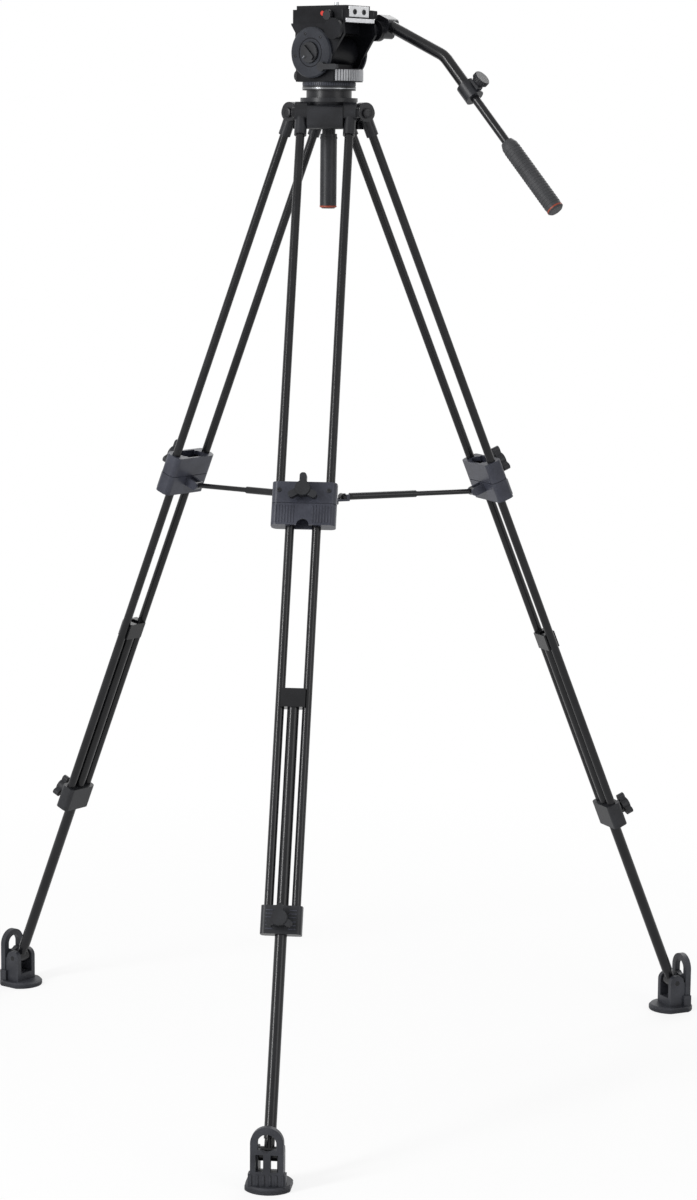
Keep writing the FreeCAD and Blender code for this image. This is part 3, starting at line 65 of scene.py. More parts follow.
# Noise in every finish: scales are repeats per metre, details are octaves.
PATCH_SCALE = 28.0
PATCH_DETAIL = 5.0
SPECK_SCALE = 420.0
SPECK_DETAIL = 3.0
SPECK_SHARE = 0.4
SHADE_START = 0.55
SHADE_END = 0.95
COAT_ROUGHNESS = 0.25
BRUSH_STRETCH = (1.0, 1.0, 0.04)
BRUSH_DETAIL = 2.0
RELIEF_DETAIL = 3.0

# Modelling: WELD and FLAT are in metres, SUNK is in millimetres.
RING_STEPS = 72
SCREW_SIDES = 36
SMOOTH_DEGREES = 32.0
WELD = 0.000002
FLAT = 0.000001
SUNK = 0.5
TOOTH_SHARE = 0.55
TOOTH_EDGE = 0.45
JOINT_KNOB_REACH = 18.0

Colour = tuple[float, float, float]
Spot = tuple[float, float, float]
Box = tuple[Spot, Spot]
Outline = tuple[tuple[float, float], ...]


class Grain(Enum):
    """The fine relief of a surface."""

    SMOOTH = "smooth"
    CAST = "cast"
    MOULDED = "moulded"
    RUBBER = "rubber"
    BRUSHED = "brushed"


# ---------------------------------------------------------------- finishes


@dataclass(frozen=True)
class Finish:
    """One surface finish, made of shader nodes.

    Args:
        name: the material's name.
        colour: its main colour.
        shade: the colour of its rubbed or dusty patches.
        roughness: mean roughness.
        metallic: 0 for a paint or plastic, 1 for bare metal.
        grain: the kind of fine relief.
        pitch: size of the relief, in metres.
        relief: height of the relief, in metres.
        coat: weight of a clear coat.
        specular: specular level of the shader.
        spread: how much the roughness varies.
    """

    name: str
    colour: Colour
    shade: Colour
    roughness: float
    metallic: float = 0.0
    grain: Grain = Grain.SMOOTH
    pitch: float = 0.001
    relief: float = 0.00002
    coat: float = 0.0
    specular: float = 0.3
    spread: float = 0.08

    def make(self) -> bpy.types.Material:
        """Build the material.

        Returns:
            The new material.
        """
        material = bpy.data.materials.new(self.name)
        material.use_nodes = True
        material.diffuse_color = (*self.colour, 1.0)
        nodes = material.node_tree.nodes
        links = material.node_tree.links
        shader = nodes["Principled BSDF"]
        shader.inputs["Metallic"].default_value = self.metallic
        shader.inputs["Specular IOR Level"].default_value = self.specular
        shader.inputs["Coat Weight"].default_value = self.coat
        shader.inputs["Coat Roughness"].default_value = COAT_ROUGHNESS
        place = nodes.new("ShaderNodeTexCoord").outputs["Object"]
        patches = self._noise(material, place, PATCH_SCALE, PATCH_DETAIL)
        specks = self._noise(material, place, SPECK_SCALE, SPECK_DETAIL)
        mixed = nodes.new("ShaderNodeMath")
        mixed.operation = "MULTIPLY_ADD"
        links.new(specks, mixed.inputs[0])
        mixed.inputs[1].default_value = SPECK_SHARE
        links.new(patches, mixed.inputs[2])
        ramp = nodes.new("ShaderNodeValToRGB")
        ramp.color_ramp.elements[0].position = SHADE_START
        ramp.color_ramp.elements[0].color = (*self.colour, 1.0)
        ramp.color_ramp.elements[1].position = SHADE_END
        ramp.color_ramp.elements[1].color = (*self.shade, 1.0)
        links.new(mixed.outputs[0], ramp.inputs[0])
        links.new(ramp.outputs[0], shader.inputs["Base Color"])
        rough = nodes.new("ShaderNodeMapRange")
        rough.inputs["To Min"].default_value = self.roughness - self.spread
        rough.inputs["To Max"].default_value = self.roughness + self.spread
        links.new(patches, rough.inputs["Value"])
        links.new(rough.outputs[0], shader.inputs["Roughness"])
        if self.grain is not Grain.SMOOTH:
            bump = nodes.new("ShaderNodeBump")
            bump.inputs["Distance"].default_value = self.relief
            bump.inputs["Strength"].default_value = 1.0
            links.new(self._relief(material, place), bump.inputs["Height"])
            links.new(bump.outputs[0], shader.inputs["Normal"])
        return material

    def _noise(
        self,
        material: bpy.types.Material,
        place: bpy.types.NodeSocket,
        scale: float,
        detail: float,
    ) -> bpy.types.NodeSocket:
        """Add a noise texture.

        Args:
            material: the material it belongs to.
            place: the coordinates.
            scale: repeats per metre.
            detail: octaves.

        Returns:
            The noise's value.
        """
        noise = material.node_tree.nodes.new("ShaderNodeTexNoise")
        noise.inputs["Scale"].default_value = scale
        noise.inputs["Detail"].default_value = detail
        material.node_tree.links.new(place, noise.inputs["Vector"])
        return noise.outputs["Fac"]

    def _relief(
        self, material: bpy.types.Material, place: bpy.types.NodeSocket
    ) -> bpy.types.NodeSocket:
        """Add the texture of the fine relief.

        Args:
            material: the material it belongs to.
            place: the coordinates.

        Returns:
            The relief's height.
        """
        nodes = material.node_tree.nodes
        links = material.node_tree.links
        if self.grain is Grain.BRUSHED:
            stretch = nodes.new("ShaderNodeMapping")
            stretch.inputs["Scale"].default_value = BRUSH_STRETCH
            links.new(place, stretch.inputs["Vector"])
            return self._noise(material, stretch.outputs[0], 1.0 / self.pitch, BRUSH_DETAIL)
        if self.grain is Grain.CAST:
            cells = nodes.new("ShaderNodeTexVoronoi")
            cells.feature = "SMOOTH_F1"
            cells.inputs["Scale"].default_value = 1.0 / self.pitch
            links.new(place, cells.inputs["Vector"])
            return cells.outputs["Distance"]
        return self._noise(material, place, 1.0 / self.pitch, RELIEF_DETAIL)


FINISHES: dict[str, Finish] = {
    "tube_black": Finish(
        "satin_black_tube",
        (0.0035, 0.0036, 0.0046),
        (0.008, 0.0082, 0.01),
        0.24,
        grain=Grain.BRUSHED,
        pitch=0.0006,
        relief=0.000003,
    ),
    "casting_black": Finish(
        "black_casting",
        (0.007, 0.0072, 0.009),
        (0.017, 0.018, 0.022),
        0.36,
        grain=Grain.CAST,
        pitch=0.0011,
        relief=0.00003,
    ),
    "head_black": Finish(
        "head_casting",
        (0.004, 0.0042, 0.0055),
        (0.011, 0.0115, 0.014),
        0.4,
        grain=Grain.CAST,
        pitch=0.0009,
        relief=0.000022,
        specular=0.13,
    ),
    "plate_black": Finish(
        "matt_black_plate",
        (0.005, 0.005, 0.0065),
        (0.012, 0.0125, 0.015),
        0.42,
        grain=Grain.BRUSHED,
        pitch=0.0008,
        relief=0.000006,
        specular=0.15,
    ),
    "moulded_slate": Finish(
        "slate_moulding",
        (0.026, 0.028, 0.04),
        (0.05, 0.053, 0.07),
        0.38,
        grain=Grain.MOULDED,
        pitch=0.0007,
        relief=0.00003,
    ),
    "moulded_black": Finish(
        "black_moulding",
        (0.009, 0.0095, 0.0115),
        (0.021, 0.022, 0.026),
        0.42,
        grain=Grain.MOULDED,
        pitch=0.0007,
        relief=0.000025,
    ),
    "foot_rubber": Finish(
        "foot_rubber",
        (0.018, 0.019, 0.024),
        (0.04, 0.042, 0.05),
        0.46,
        grain=Grain.RUBBER,
        pitch=0.0012,
        relief=0.00004,
    ),
    "grip_rubber": Finish(
        "grip_rubber",
        (0.03, 0.0305, 0.033),
        (0.054, 0.055, 0.059),
        0.58,
        grain=Grain.RUBBER,
        pitch=0.001,
        relief=0.00004,
    ),
    "steel_bolt": Finish(
        "plated_steel",
        (0.36, 0.37, 0.385),
        (0.5, 0.51, 0.52),
        0.33,
        metallic=1.0,
        grain=Grain.BRUSHED,
        pitch=0.0005,
        relief=0.000004,
    ),
    "silver_knob": Finish(
        "turned_aluminium",
        (0.6, 0.61, 0.62),
        (0.74, 0.75, 0.76),
        0.3,
        metallic=1.0,
        grain=Grain.BRUSHED,
        pitch=0.0005,
        relief=0.000005,
    ),
    "red_button": Finish(
        "red_moulding",
        (0.5, 0.022, 0.012),
        (0.62, 0.05, 0.03),
        0.36,
        grain=Grain.MOULDED,
        pitch=0.0006,
        relief=0.000012,
        coat=0.3,
    ),
}
# Pale grey for the rear ends of the carrier and the camera plate: a painted reflection of the lamp
# on those faces.
PAINTED_REFLECTION_GREY = Finish(
    "painted_reflection_plate",
    (0.78, 0.79, 0.81),
    (0.9, 0.91, 0.93),
    0.36,
    metallic=0.1,
    grain=Grain.BRUSHED,
    pitch=0.0007,
    relief=0.000006,
)
ORANGE_RING = Finish(
    "orange_ring",
    (0.22, 0.036, 0.018),
    (0.3, 0.06, 0.03),
    0.45,
    grain=Grain.MOULDED,
    pitch=0.0006,
    relief=0.00001,
)
COVER_SLATE = Finish(
    "slate_cover",
    (0.014, 0.0155, 0.021),
    (0.03, 0.033, 0.041),
    0.42,
    grain=Grain.MOULDED,
    pitch=0.0007,
    relief=0.00003,
    specular=0.2,
)
NODE_FINISHES: dict[str, Finish] = {
    "left_cover": COVER_SLATE,
    "right_cover": COVER_SLATE,
    "pan_drag_ring": COVER_SLATE,
}
# Grey of the ribs on the back of the pan base: partly their own metal, partly a painted reflection
# that lightens only that side.
RIB_GREY_AND_REFLECTION = Finish(
    "grey_rib_and_reflection",
    (0.28, 0.285, 0.3),
    (0.4, 0.405, 0.42),
    0.38,
    metallic=0.3,
    grain=Grain.CAST,
    pitch=0.0009,
    relief=0.00001,
)
MARK_GREY = Finish("grey_mark", (0.17, 0.18, 0.2), (0.24, 0.25, 0.27), 0.5)


class Palette:
    """Makes each finish once and hands out its material."""

    def __init__(self) -> None:
        """Start with no materials."""
        self._made: dict[str, bpy.types.Material] = {}

    def get(self, finish: Finish) -> bpy.types.Material:
        """The material of a finish, made at its first use.

        Args:
            finish: the finish.

        Returns:
            Its material.
        """
        if finish.name not in self._made:
            self._made[finish.name] = finish.make()
        return self._made[finish.name]


# ---------------------------------------------------------------- modelling


def clear_selection() -> None:
    """Deselect every object."""
    for item in bpy.context.selected_objects:
        item.select_set(False)


def active(name: str) -> bpy.types.Object:
    """Name the object that an operator has just added.

    Args:
        name: its new name.

    Returns:
        The object.
    """
    item = bpy.context.active_object
    item.name = name
    item.data.name = name
    return item


def edit_faces(
    item: bpy.types.Object,
    chosen: Callable[[bmesh.types.BMFace], bool],
    action: Callable[[], None],
) -> None:
    """Run edit-mode operators on the faces that pass a test.

    Args:
        item: the object.
        chosen: the test of a face.
        action: what to do with the chosen faces.
    """
    bpy.ops.object.mode_set(mode="EDIT")
    bpy.ops.mesh.select_mode(type="FACE")
    bpy.ops.mesh.select_all(action="DESELECT")
    shape = bmesh.from_edit_mesh(item.data)
    shape.faces.ensure_lookup_table()
    for face in shape.faces:
        face.select_set(chosen(face))
    bmesh.update_edit_mesh(item.data)
    action()
    bpy.ops.object.mode_set(mode="OBJECT")


def block(name: str, low: Spot, high: Spot, edge: float) -> bpy.types.Object:
    """A block with bevelled edges.

    Args:
        name: the object's name.
        low: its lowest corner, in millimetres.
        high: its highest corner, in millimetres.
        edge: width of the bevel, in millimetres.

    Returns:
        The new object.
    """
    clear_selection()
    middle = (Vector(low) + Vector(high)) * MM / 2
    bpy.ops.mesh.primitive_cube_add(size=1.0, location=middle)
    item = active(name)
    item.scale = (Vector(high) - Vector(low)) * MM
    bpy.ops.object.transform_apply(location=True, rotation=True, scale=True)
    bpy.ops.object.mode_set(mode="EDIT")
    bpy.ops.mesh.select_all(action="SELECT")
    bpy.ops.mesh.bevel(offset=edge * MM, segments=3, affect="EDGES")
    bpy.ops.object.mode_set(mode="OBJECT")
    return item


def turned(name: str, outline: Outline) -> bpy.types.Object:
    """A ring turned about Z from a closed outline of four corners.

    Args:
        name: the object's name.
        outline: (radius, height) of its four corners, in millimetres.

    Returns:
        The new object.
    """
    clear_selection()
    bpy.ops.mesh.primitive_plane_add(size=1.0, location=(0.0, 0.0, 0.0))
    item = active(name)
    corners = [item.data.vertices[index] for index in (0, 1, 3, 2)]
    for vertex, (radius, height) in zip(corners, outline):
        vertex.co = (radius * MM, 0.0, height * MM)
    bpy.ops.object.mode_set(mode="EDIT")
    bpy.ops.mesh.select_all(action="SELECT")
    bpy.ops.mesh.spin(
        steps=RING_STEPS, angle=math.tau, center=(0.0, 0.0, 0.0), axis=(0.0, 0.0, 1.0)
    )
    bpy.ops.mesh.select_all(action="SELECT")
    bpy.ops.mesh.remove_doubles(threshold=WELD)
    drop_inner_faces(item)
    bpy.ops.mesh.select_all(action="SELECT")
    bpy.ops.mesh.normals_make_consistent(inside=False)
    bpy.ops.object.mode_set(mode="OBJECT")
    return item


def drop_inner_faces(item: bpy.types.Object) -> None:
    """Remove the outline's own face; those that the spin leaves at its other steps stay.

    Args:
        item: the ring, in edit mode.
    """
    shape = bmesh.from_edit_mesh(item.data)
    inner = [
        face
        for face in shape.faces
        if any(len(edge.link_faces) > 2 for edge in face.edges)
        and all(abs(corner.co.y) < FLAT and corner.co.x >= 0 for corner in face.verts)
    ]
    bmesh.ops.delete(shape, geom=inner, context="FACES")
    bmesh.update_edit_mesh(item.data)


def hoop(
    name: str, inner: float, outer: float, low: float, high: float, slope: float
) -> bpy.types.Object:
    """A ring about Z whose ends slope out from its inner wall.

    Args:
        name: the object's name.
        inner: inner radius, in millimetres.
        outer: outer radius, in millimetres.
        low: lower end of the inner wall, in millimetres.
        high: upper end of the inner wall, in millimetres.
        slope: how much shorter the outer wall is at each end, in millimetres.

    Returns:
        The new object.
    """
    return turned(
        name,
        ((inner, low), (outer, low + slope), (outer, high - slope), (inner, high)),
    )


def joined(name: str, items: list[bpy.types.Object]) -> bpy.types.Object:
    """Join several meshes into one piece.

    Args:
        name: the piece's name.
        items: its parts.

    Returns:
        The joined object.
    """
    clear_selection()
    for item in items:
        item.select_set(True)
    bpy.context.view_layer.objects.active = items[0]
    bpy.ops.object.join()
    return active(name)


def repeated(name: str, first: bpy.types.Object, places: list[Matrix]) -> bpy.types.Object:
    """Copy one object to several places, each copy with its own mesh, as one piece.

    Args:
        name: the piece's name.
        first: the object to copy, which is removed.
        places: where the copies go.

    Returns:
        The joined copies.
    """
    made = []
    for index, matrix in enumerate(places):
        twin = bpy.data.objects.new(f"{first.name}_{index}", first.data.copy())
        twin.data.transform(matrix)
        bpy.context.collection.objects.link(twin)
        made.append(twin)
    bpy.data.objects.remove(first)
    return joined(name, made)


def shifts(spots: list[Spot]) -> list[Matrix]:
    """Moves to several spots, which are in millimetres."""
    return [Matrix.Translation(Vector(spot) * MM) for spot in spots]


def tooth_ring(
    name: str, radius: float, start: float, end: float, count: int, proud: float
) -> bpy.types.Object:
    """A ring of grip teeth round Z.

    Args:
        name: the object's name.
        radius: the radius they stand on, in millimetres.
        start: their lower end, in millimetres.
        end: their upper end, in millimetres.
        count: how many.
        proud: how far they stand out, in millimetres.

    Returns:
        The joined ring.
    """
    half = math.pi * radius / count * TOOTH_SHARE
    first = block(
        "tooth",
        (radius - SUNK, -half, start),
        (radius + proud, half, end),
        min(half, proud) * TOOTH_EDGE,
    )
    places = [Matrix.Rotation(math.tau * index / count, 4, "Z") for index in range(count)]
    return repeated(name, first, places)


@dataclass(frozen=True)
class Screw:
    """A low round screw head with a round socket, standing along Z.

    Args:
        radius: head radius, in millimetres.
        height: head height, in millimetres.
        socket: socket radius, in millimetres.
        rim: width of the rim's bevel, as a share of the radius.
        depth: depth of the socket, as a share of the height.
    """

    radius: float
    height: float
    socket: float
    rim: float = 0.12
    depth: float = 0.6

    def make(self) -> bpy.types.Object:
        """Model one screw head.

        Returns:
            The new object.
        """
        clear_selection()
        bpy.ops.mesh.primitive_cylinder_add(
            vertices=SCREW_SIDES,
            radius=self.radius * MM,
            depth=self.height * MM,
            location=(0.0, 0.0, self.height * MM / 2),
        )
        item = active("screw")
        bpy.ops.object.transform_apply(location=True, rotation=True, scale=True)
        edit_faces(item, lambda face: face.normal.z > 0.9, self._round_rim)
        edit_faces(
            item,
            lambda face: face.normal.z > 0.99 and len(face.verts) == SCREW_SIDES,
            self._sink_socket,
        )
        return item

    def _round_rim(self) -> None:
        """Bevel the rim of the chosen top face."""
        bpy.ops.mesh.bevel(offset=self.rim * self.radius * MM, segments=2, affect="EDGES")
        bpy.ops.mesh.select_all(action="DESELECT")

    def _sink_socket(self) -> None:
        """Inset the chosen top face and push it down."""
        flat = self.radius * (1.0 - self.rim)
        bpy.ops.mesh.inset(thickness=(flat - self.socket) * MM)
        bpy.ops.mesh.extrude_region_move(
            TRANSFORM_OT_translate={"value": (0.0, 0.0, -self.height * self.depth * MM)}
        )


# ---------------------------------------------------------------- frames


class Facing(Enum):
    """The direction of a local frame that a fitting's own Z is turned to."""

    ACROSS = "X"
    ALONG = "Y"


@dataclass(frozen=True)
class Axes:
    """A local frame of the object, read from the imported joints."""

    matrix: Matrix

    @classmethod
    def of(cls, origin: Vector, x: Vector, z: Vector) -> "Axes":
        """A frame from its origin and two of its directions.

        Args:
            origin: its origin, in metres.
            x: its X direction.
            z: its Z direction, square to X.

        Returns:
            The frame.
        """
        matrix = Matrix((x, z.cross(x), z)).transposed().to_4x4()
        matrix.translation = origin
        return cls(matrix)

    def moved(self, x: float, y: float, z: float) -> "Axes":
        """The same frame with its origin moved, in its own millimetres."""
        return Axes(self.matrix @ Matrix.Translation(Vector((x, y, z)) * MM))

    def turned_to(self, facing: Facing, sign: float = 1.0) -> "Axes":
        """The same frame with its Z turned to another of its directions.

        Args:
            facing: that direction.
            sign: 1, or -1 for the opposite direction.

        Returns:
            The turned frame.
        """
        quarter = sign * math.pi / 2
        if facing is Facing.ACROSS:
            return Axes(self.matrix @ Matrix.Rotation(quarter, 4, "Y"))
        return Axes(self.matrix @ Matrix.Rotation(-quarter, 4, "X"))


WHOLE = Axes(Matrix.Identity(4))


class Rig:
    """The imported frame: its joints, nodes and local axes."""

    def __init__(self, frame: dict) -> None:
        """Keep the frame, and its joints by name."""
        self.frame = frame
        self.joints = {joint["name"]: joint for joint in frame["joints"]}

    def axis(self, joint: str) -> Vector:
        """A joint's direction."""
        return Vector(self.joints[joint]["axis"]).normalized()

    def place(self, joint: str) -> Vector:
        """A hinge's place."""
        return Vector(self.joints[joint]["pos_m"])

    def leg(self, side: str) -> Axes:
        """The frame of a leg: X along its hinge, Z up the leg, Y inward."""
        hinge = f"leg_{side}_fold"
        return Axes.of(self.place(hinge), self.axis(hinge), self.axis(f"middle_{side}_slide"))

    def foot(self, side: str) -> Axes:
        """The frame of a foot: on the ground under its ankle."""
        spot = self.place(f"foot_{side}_pivot")
        return Axes.of(Vector((spot.x, spot.y, 0.0)), self.axis(f"foot_{side}_pivot"), UP)

    def head(self) -> Axes:
        """The frame of the head: X to the operator's right, Y toward the lens."""
        return Axes.of(Vector(), self.axis("tilt"), UP)

    def grip(self) -> Axes:
        """The frame of the lower bar: -Y along it, origin abeam of the joint's knob."""
        z = self.axis("joint_knob_turn")
        origin = self.place("joint_knob_turn") - z * JOINT_KNOB_REACH * MM
        return Axes.of(origin, self.axis("tilt"), z)


@dataclass
class Workshop:
    """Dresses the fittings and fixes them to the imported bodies."""

    rig: Rig
    palette: Palette
    made: list[str] = field(default_factory=list)

    def fit(
        self,
        item: bpy.types.Object,
        axes: Axes,
        body: str,
        slot: str,
        finish: Finish | None = None,
    ) -> None:
        """Place a fitting in the object, dress it and fix it to a body.

        Args:
            item: the fitting, modelled in its own frame.
            axes: where that frame is.
            body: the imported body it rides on.
            slot: the record's slot nearest to its finish.
            finish: its finish, where it isn't that slot's own.
        """
        item.data.transform(axes.matrix @ item.matrix_world)
        item.matrix_world = Matrix.Identity(4)
        item.data.materials.clear()
        item.data.materials.append(self.palette.get(finish or FINISHES[slot]))
        clear_selection()
        item.select_set(True)
        bpy.context.view_layer.objects.active = item
        bpy.ops.object.shade_smooth_by_angle(angle=math.radians(SMOOTH_DEGREES))
        item.select_set(False)
        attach(item, body)
        self.made.append(item.name)
        LOG.info("%s rides on %s", item.name, body)


# ---------------------------------------------------------------- sub-assemblies


@dataclass
class Nodes:
    """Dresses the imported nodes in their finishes."""

    shop: Workshop

    def dress(self) -> None:
        """Give every node its own finish, or else the finish of its slot."""
        for row in self.shop.rig.frame["record"]["subparts"]:
            item = self.shop.rig.frame["nodes"][row["node"]]
            finish = NODE_FINISHES.get(row["node"], FINISHES[row["material_slot"]])
            material = self.shop.palette.get(finish)
            item.data.materials.clear()
            item.data.materials.append(material)
            LOG.info("%s wears %s", row["node"], material.name)


@dataclass
class LegTrim:
    """Ribs, screws and caps of a leg's collar, clamp and hinge bolts, in millimetres."""

    shop: Workshop
    side: str
    collar_face: float = -13.5
    collar_low: float = -636.0
    collar_seam: float = -610.0
    collar_screw: Screw = Screw(radius=3.2, height=1.4, socket=1.5)
    collar_screw_x: float = 36.0
    collar_screw_z: float = -588.0
    rib_wide: float = 1.6
    rib_count: int = 7
    rib_pitch: float = 4.2
    rib_start: float = 14.0
    rib_proud: float = 0.9
    rib_edge: float = 0.35
    bolt_cap: Screw = Screw(radius=7.0, height=0.8, socket=3.2)
    bolt_reach: float = 50.0
    clamp_face: float = -12.0
    clamp_middle: float = -1206.5
    clamp_rib_x: float = 16.0
    clamp_rib_half: tuple[float, float] = (5.5, 0.9)
    clamp_rib_proud: float = 0.8
    clamp_rib_heights: tuple[float, ...] = (-13.0, -8.0, -3.0, 3.0, 8.0, 13.0)

    def build(self) -> None:
        """Make the leg's fittings."""
        axes = self.shop.rig.leg(self.side)
        self.collar_ribs(axes)
        self.collar_screws(axes)
        self.clamp_ribs(axes)
        self.bolt_sockets(axes)

    def collar_ribs(self, axes: Axes) -> None:
        """Upright ribs on both sides of the notch under the collar's seam.

        Args:
            axes: the leg's frame.
        """
        half = self.rib_wide / 2
        first = block(
            "rib",
            (-half, self.collar_face - self.rib_proud, self.collar_low),
            (half, self.collar_face + SUNK, self.collar_seam),
            self.rib_edge,
        )
        spots = [
            (sign * (self.rib_start + index * self.rib_pitch), 0.0, 0.0)
            for sign in (-1, 1)
            for index in range(self.rib_count)
        ]
        ribs = repeated(f"collar_ribs_{self.side}", first, shifts(spots))
        self.shop.fit(ribs, axes, f"leg_{self.side}", "moulded_slate")

    def collar_screws(self, axes: Axes) -> None:
        """Two socket screws in the collar's upper half.

        Args:
            axes: the leg's frame.
        """
        first = self.collar_screw.make()
        spots = [
            axes.moved(x, self.collar_face, self.collar_screw_z)
            .turned_to(Facing.ALONG, -1.0)
            .matrix
            for x in (-self.collar_screw_x, self.collar_screw_x)
        ]
        screws = repeated(f"collar_screws_{self.side}", first, spots)
        self.shop.fit(screws, WHOLE, f"leg_{self.side}", "casting_black")

    def clamp_ribs(self, axes: Axes) -> None:
        """Level ribs on the ends of the lower clamp's face.

        Args:
            axes: the leg's frame.
        """
        across, up = self.clamp_rib_half
        first = block(
            "rib",
            (-across, self.clamp_face - self.clamp_rib_proud, self.clamp_middle - up),
            (across, self.clamp_face + SUNK, self.clamp_middle + up),
            self.rib_edge,
        )
        spots = [
            (x, 0.0, z)
            for x in (-self.clamp_rib_x, self.clamp_rib_x)
            for z in self.clamp_rib_heights
        ]
        ribs = repeated(f"clamp_ribs_{self.side}", first, shifts(spots))
        self.shop.fit(ribs, axes, f"middle_{self.side}", "moulded_slate")

    def bolt_sockets(self, axes: Axes) -> None:
        """Raised rims round the sockets of the two hinge bolts.

        Args:
            axes: the leg's frame.
        """
        first = self.bolt_cap.make()
        spots = [
            axes.moved(sign * self.bolt_reach, 0.0, 0.0).turned_to(Facing.ACROSS, sign).matrix
            for sign in (-1.0, 1.0)
        ]
        caps = repeated(f"bolt_caps_{self.side}", first, spots)
        self.shop.fit(caps, WHOLE, "crown", "casting_black")


@dataclass
class FootTrim:
    """Ridges round a foot's sole and lugs under its strap, in millimetres."""

    shop: Workshop
    side: str
    sole_radius: float = 35.0
    sole_half: float = 31.0
    ridge_heights: tuple[float, ...] = (1.6, 3.5, 5.4)
    ridge_half: float = 0.8
    ridge_proud: float = 0.7
    ridge_slope: float = 0.4
    strap_face: float = -24.0
    lug_half: float = 1.3
    lug_proud: float = 1.6
    lug_low: float = 10.0
    lug_high: float = 25.0
    lug_edge: float = 0.5
    lug_places: tuple[float, ...] = (-22.0, -13.0, -4.5, 4.5, 13.0, 22.0)

    def build(self) -> None:
        """Make the foot's fittings."""
        axes = self.shop.rig.foot(self.side)
        rings = [
            hoop(
                "ridge",
                self.sole_radius - self.ridge_half,
                self.sole_radius + self.ridge_proud,
                height - self.ridge_half,
                height + self.ridge_half,
                self.ridge_slope,
            )
            for height in self.ridge_heights
        ]
        ridges = joined(f"sole_ridges_{self.side}", rings)
        self.flatten_sides(ridges)
        self.shop.fit(ridges, axes, f"foot_{self.side}", "foot_rubber")
        first = block(
            "lug",
            (-self.lug_half, self.strap_face - self.lug_proud, self.lug_low),
            (self.lug_half, self.strap_face + SUNK, self.lug_high),
            self.lug_edge,
        )
        spots = shifts([(x, 0.0, 0.0) for x in self.lug_places])
        lugs = repeated(f"foot_lugs_{self.side}", first, spots)
        self.shop.fit(lugs, axes, f"foot_{self.side}", "foot_rubber")

    def flatten_sides(self, item: bpy.types.Object) -> None:
        """Press a ring flat where the sole has its straight sides.

        Args:
            item: the ring, in the foot's frame.
        """
        limit = self.sole_half * MM
        for vertex in item.data.vertices:
            proud = math.hypot(vertex.co.x, vertex.co.y) - self.sole_radius * MM
            if abs(vertex.co.x) > limit:
                vertex.co.x = math.copysign(limit + proud, vertex.co.x)


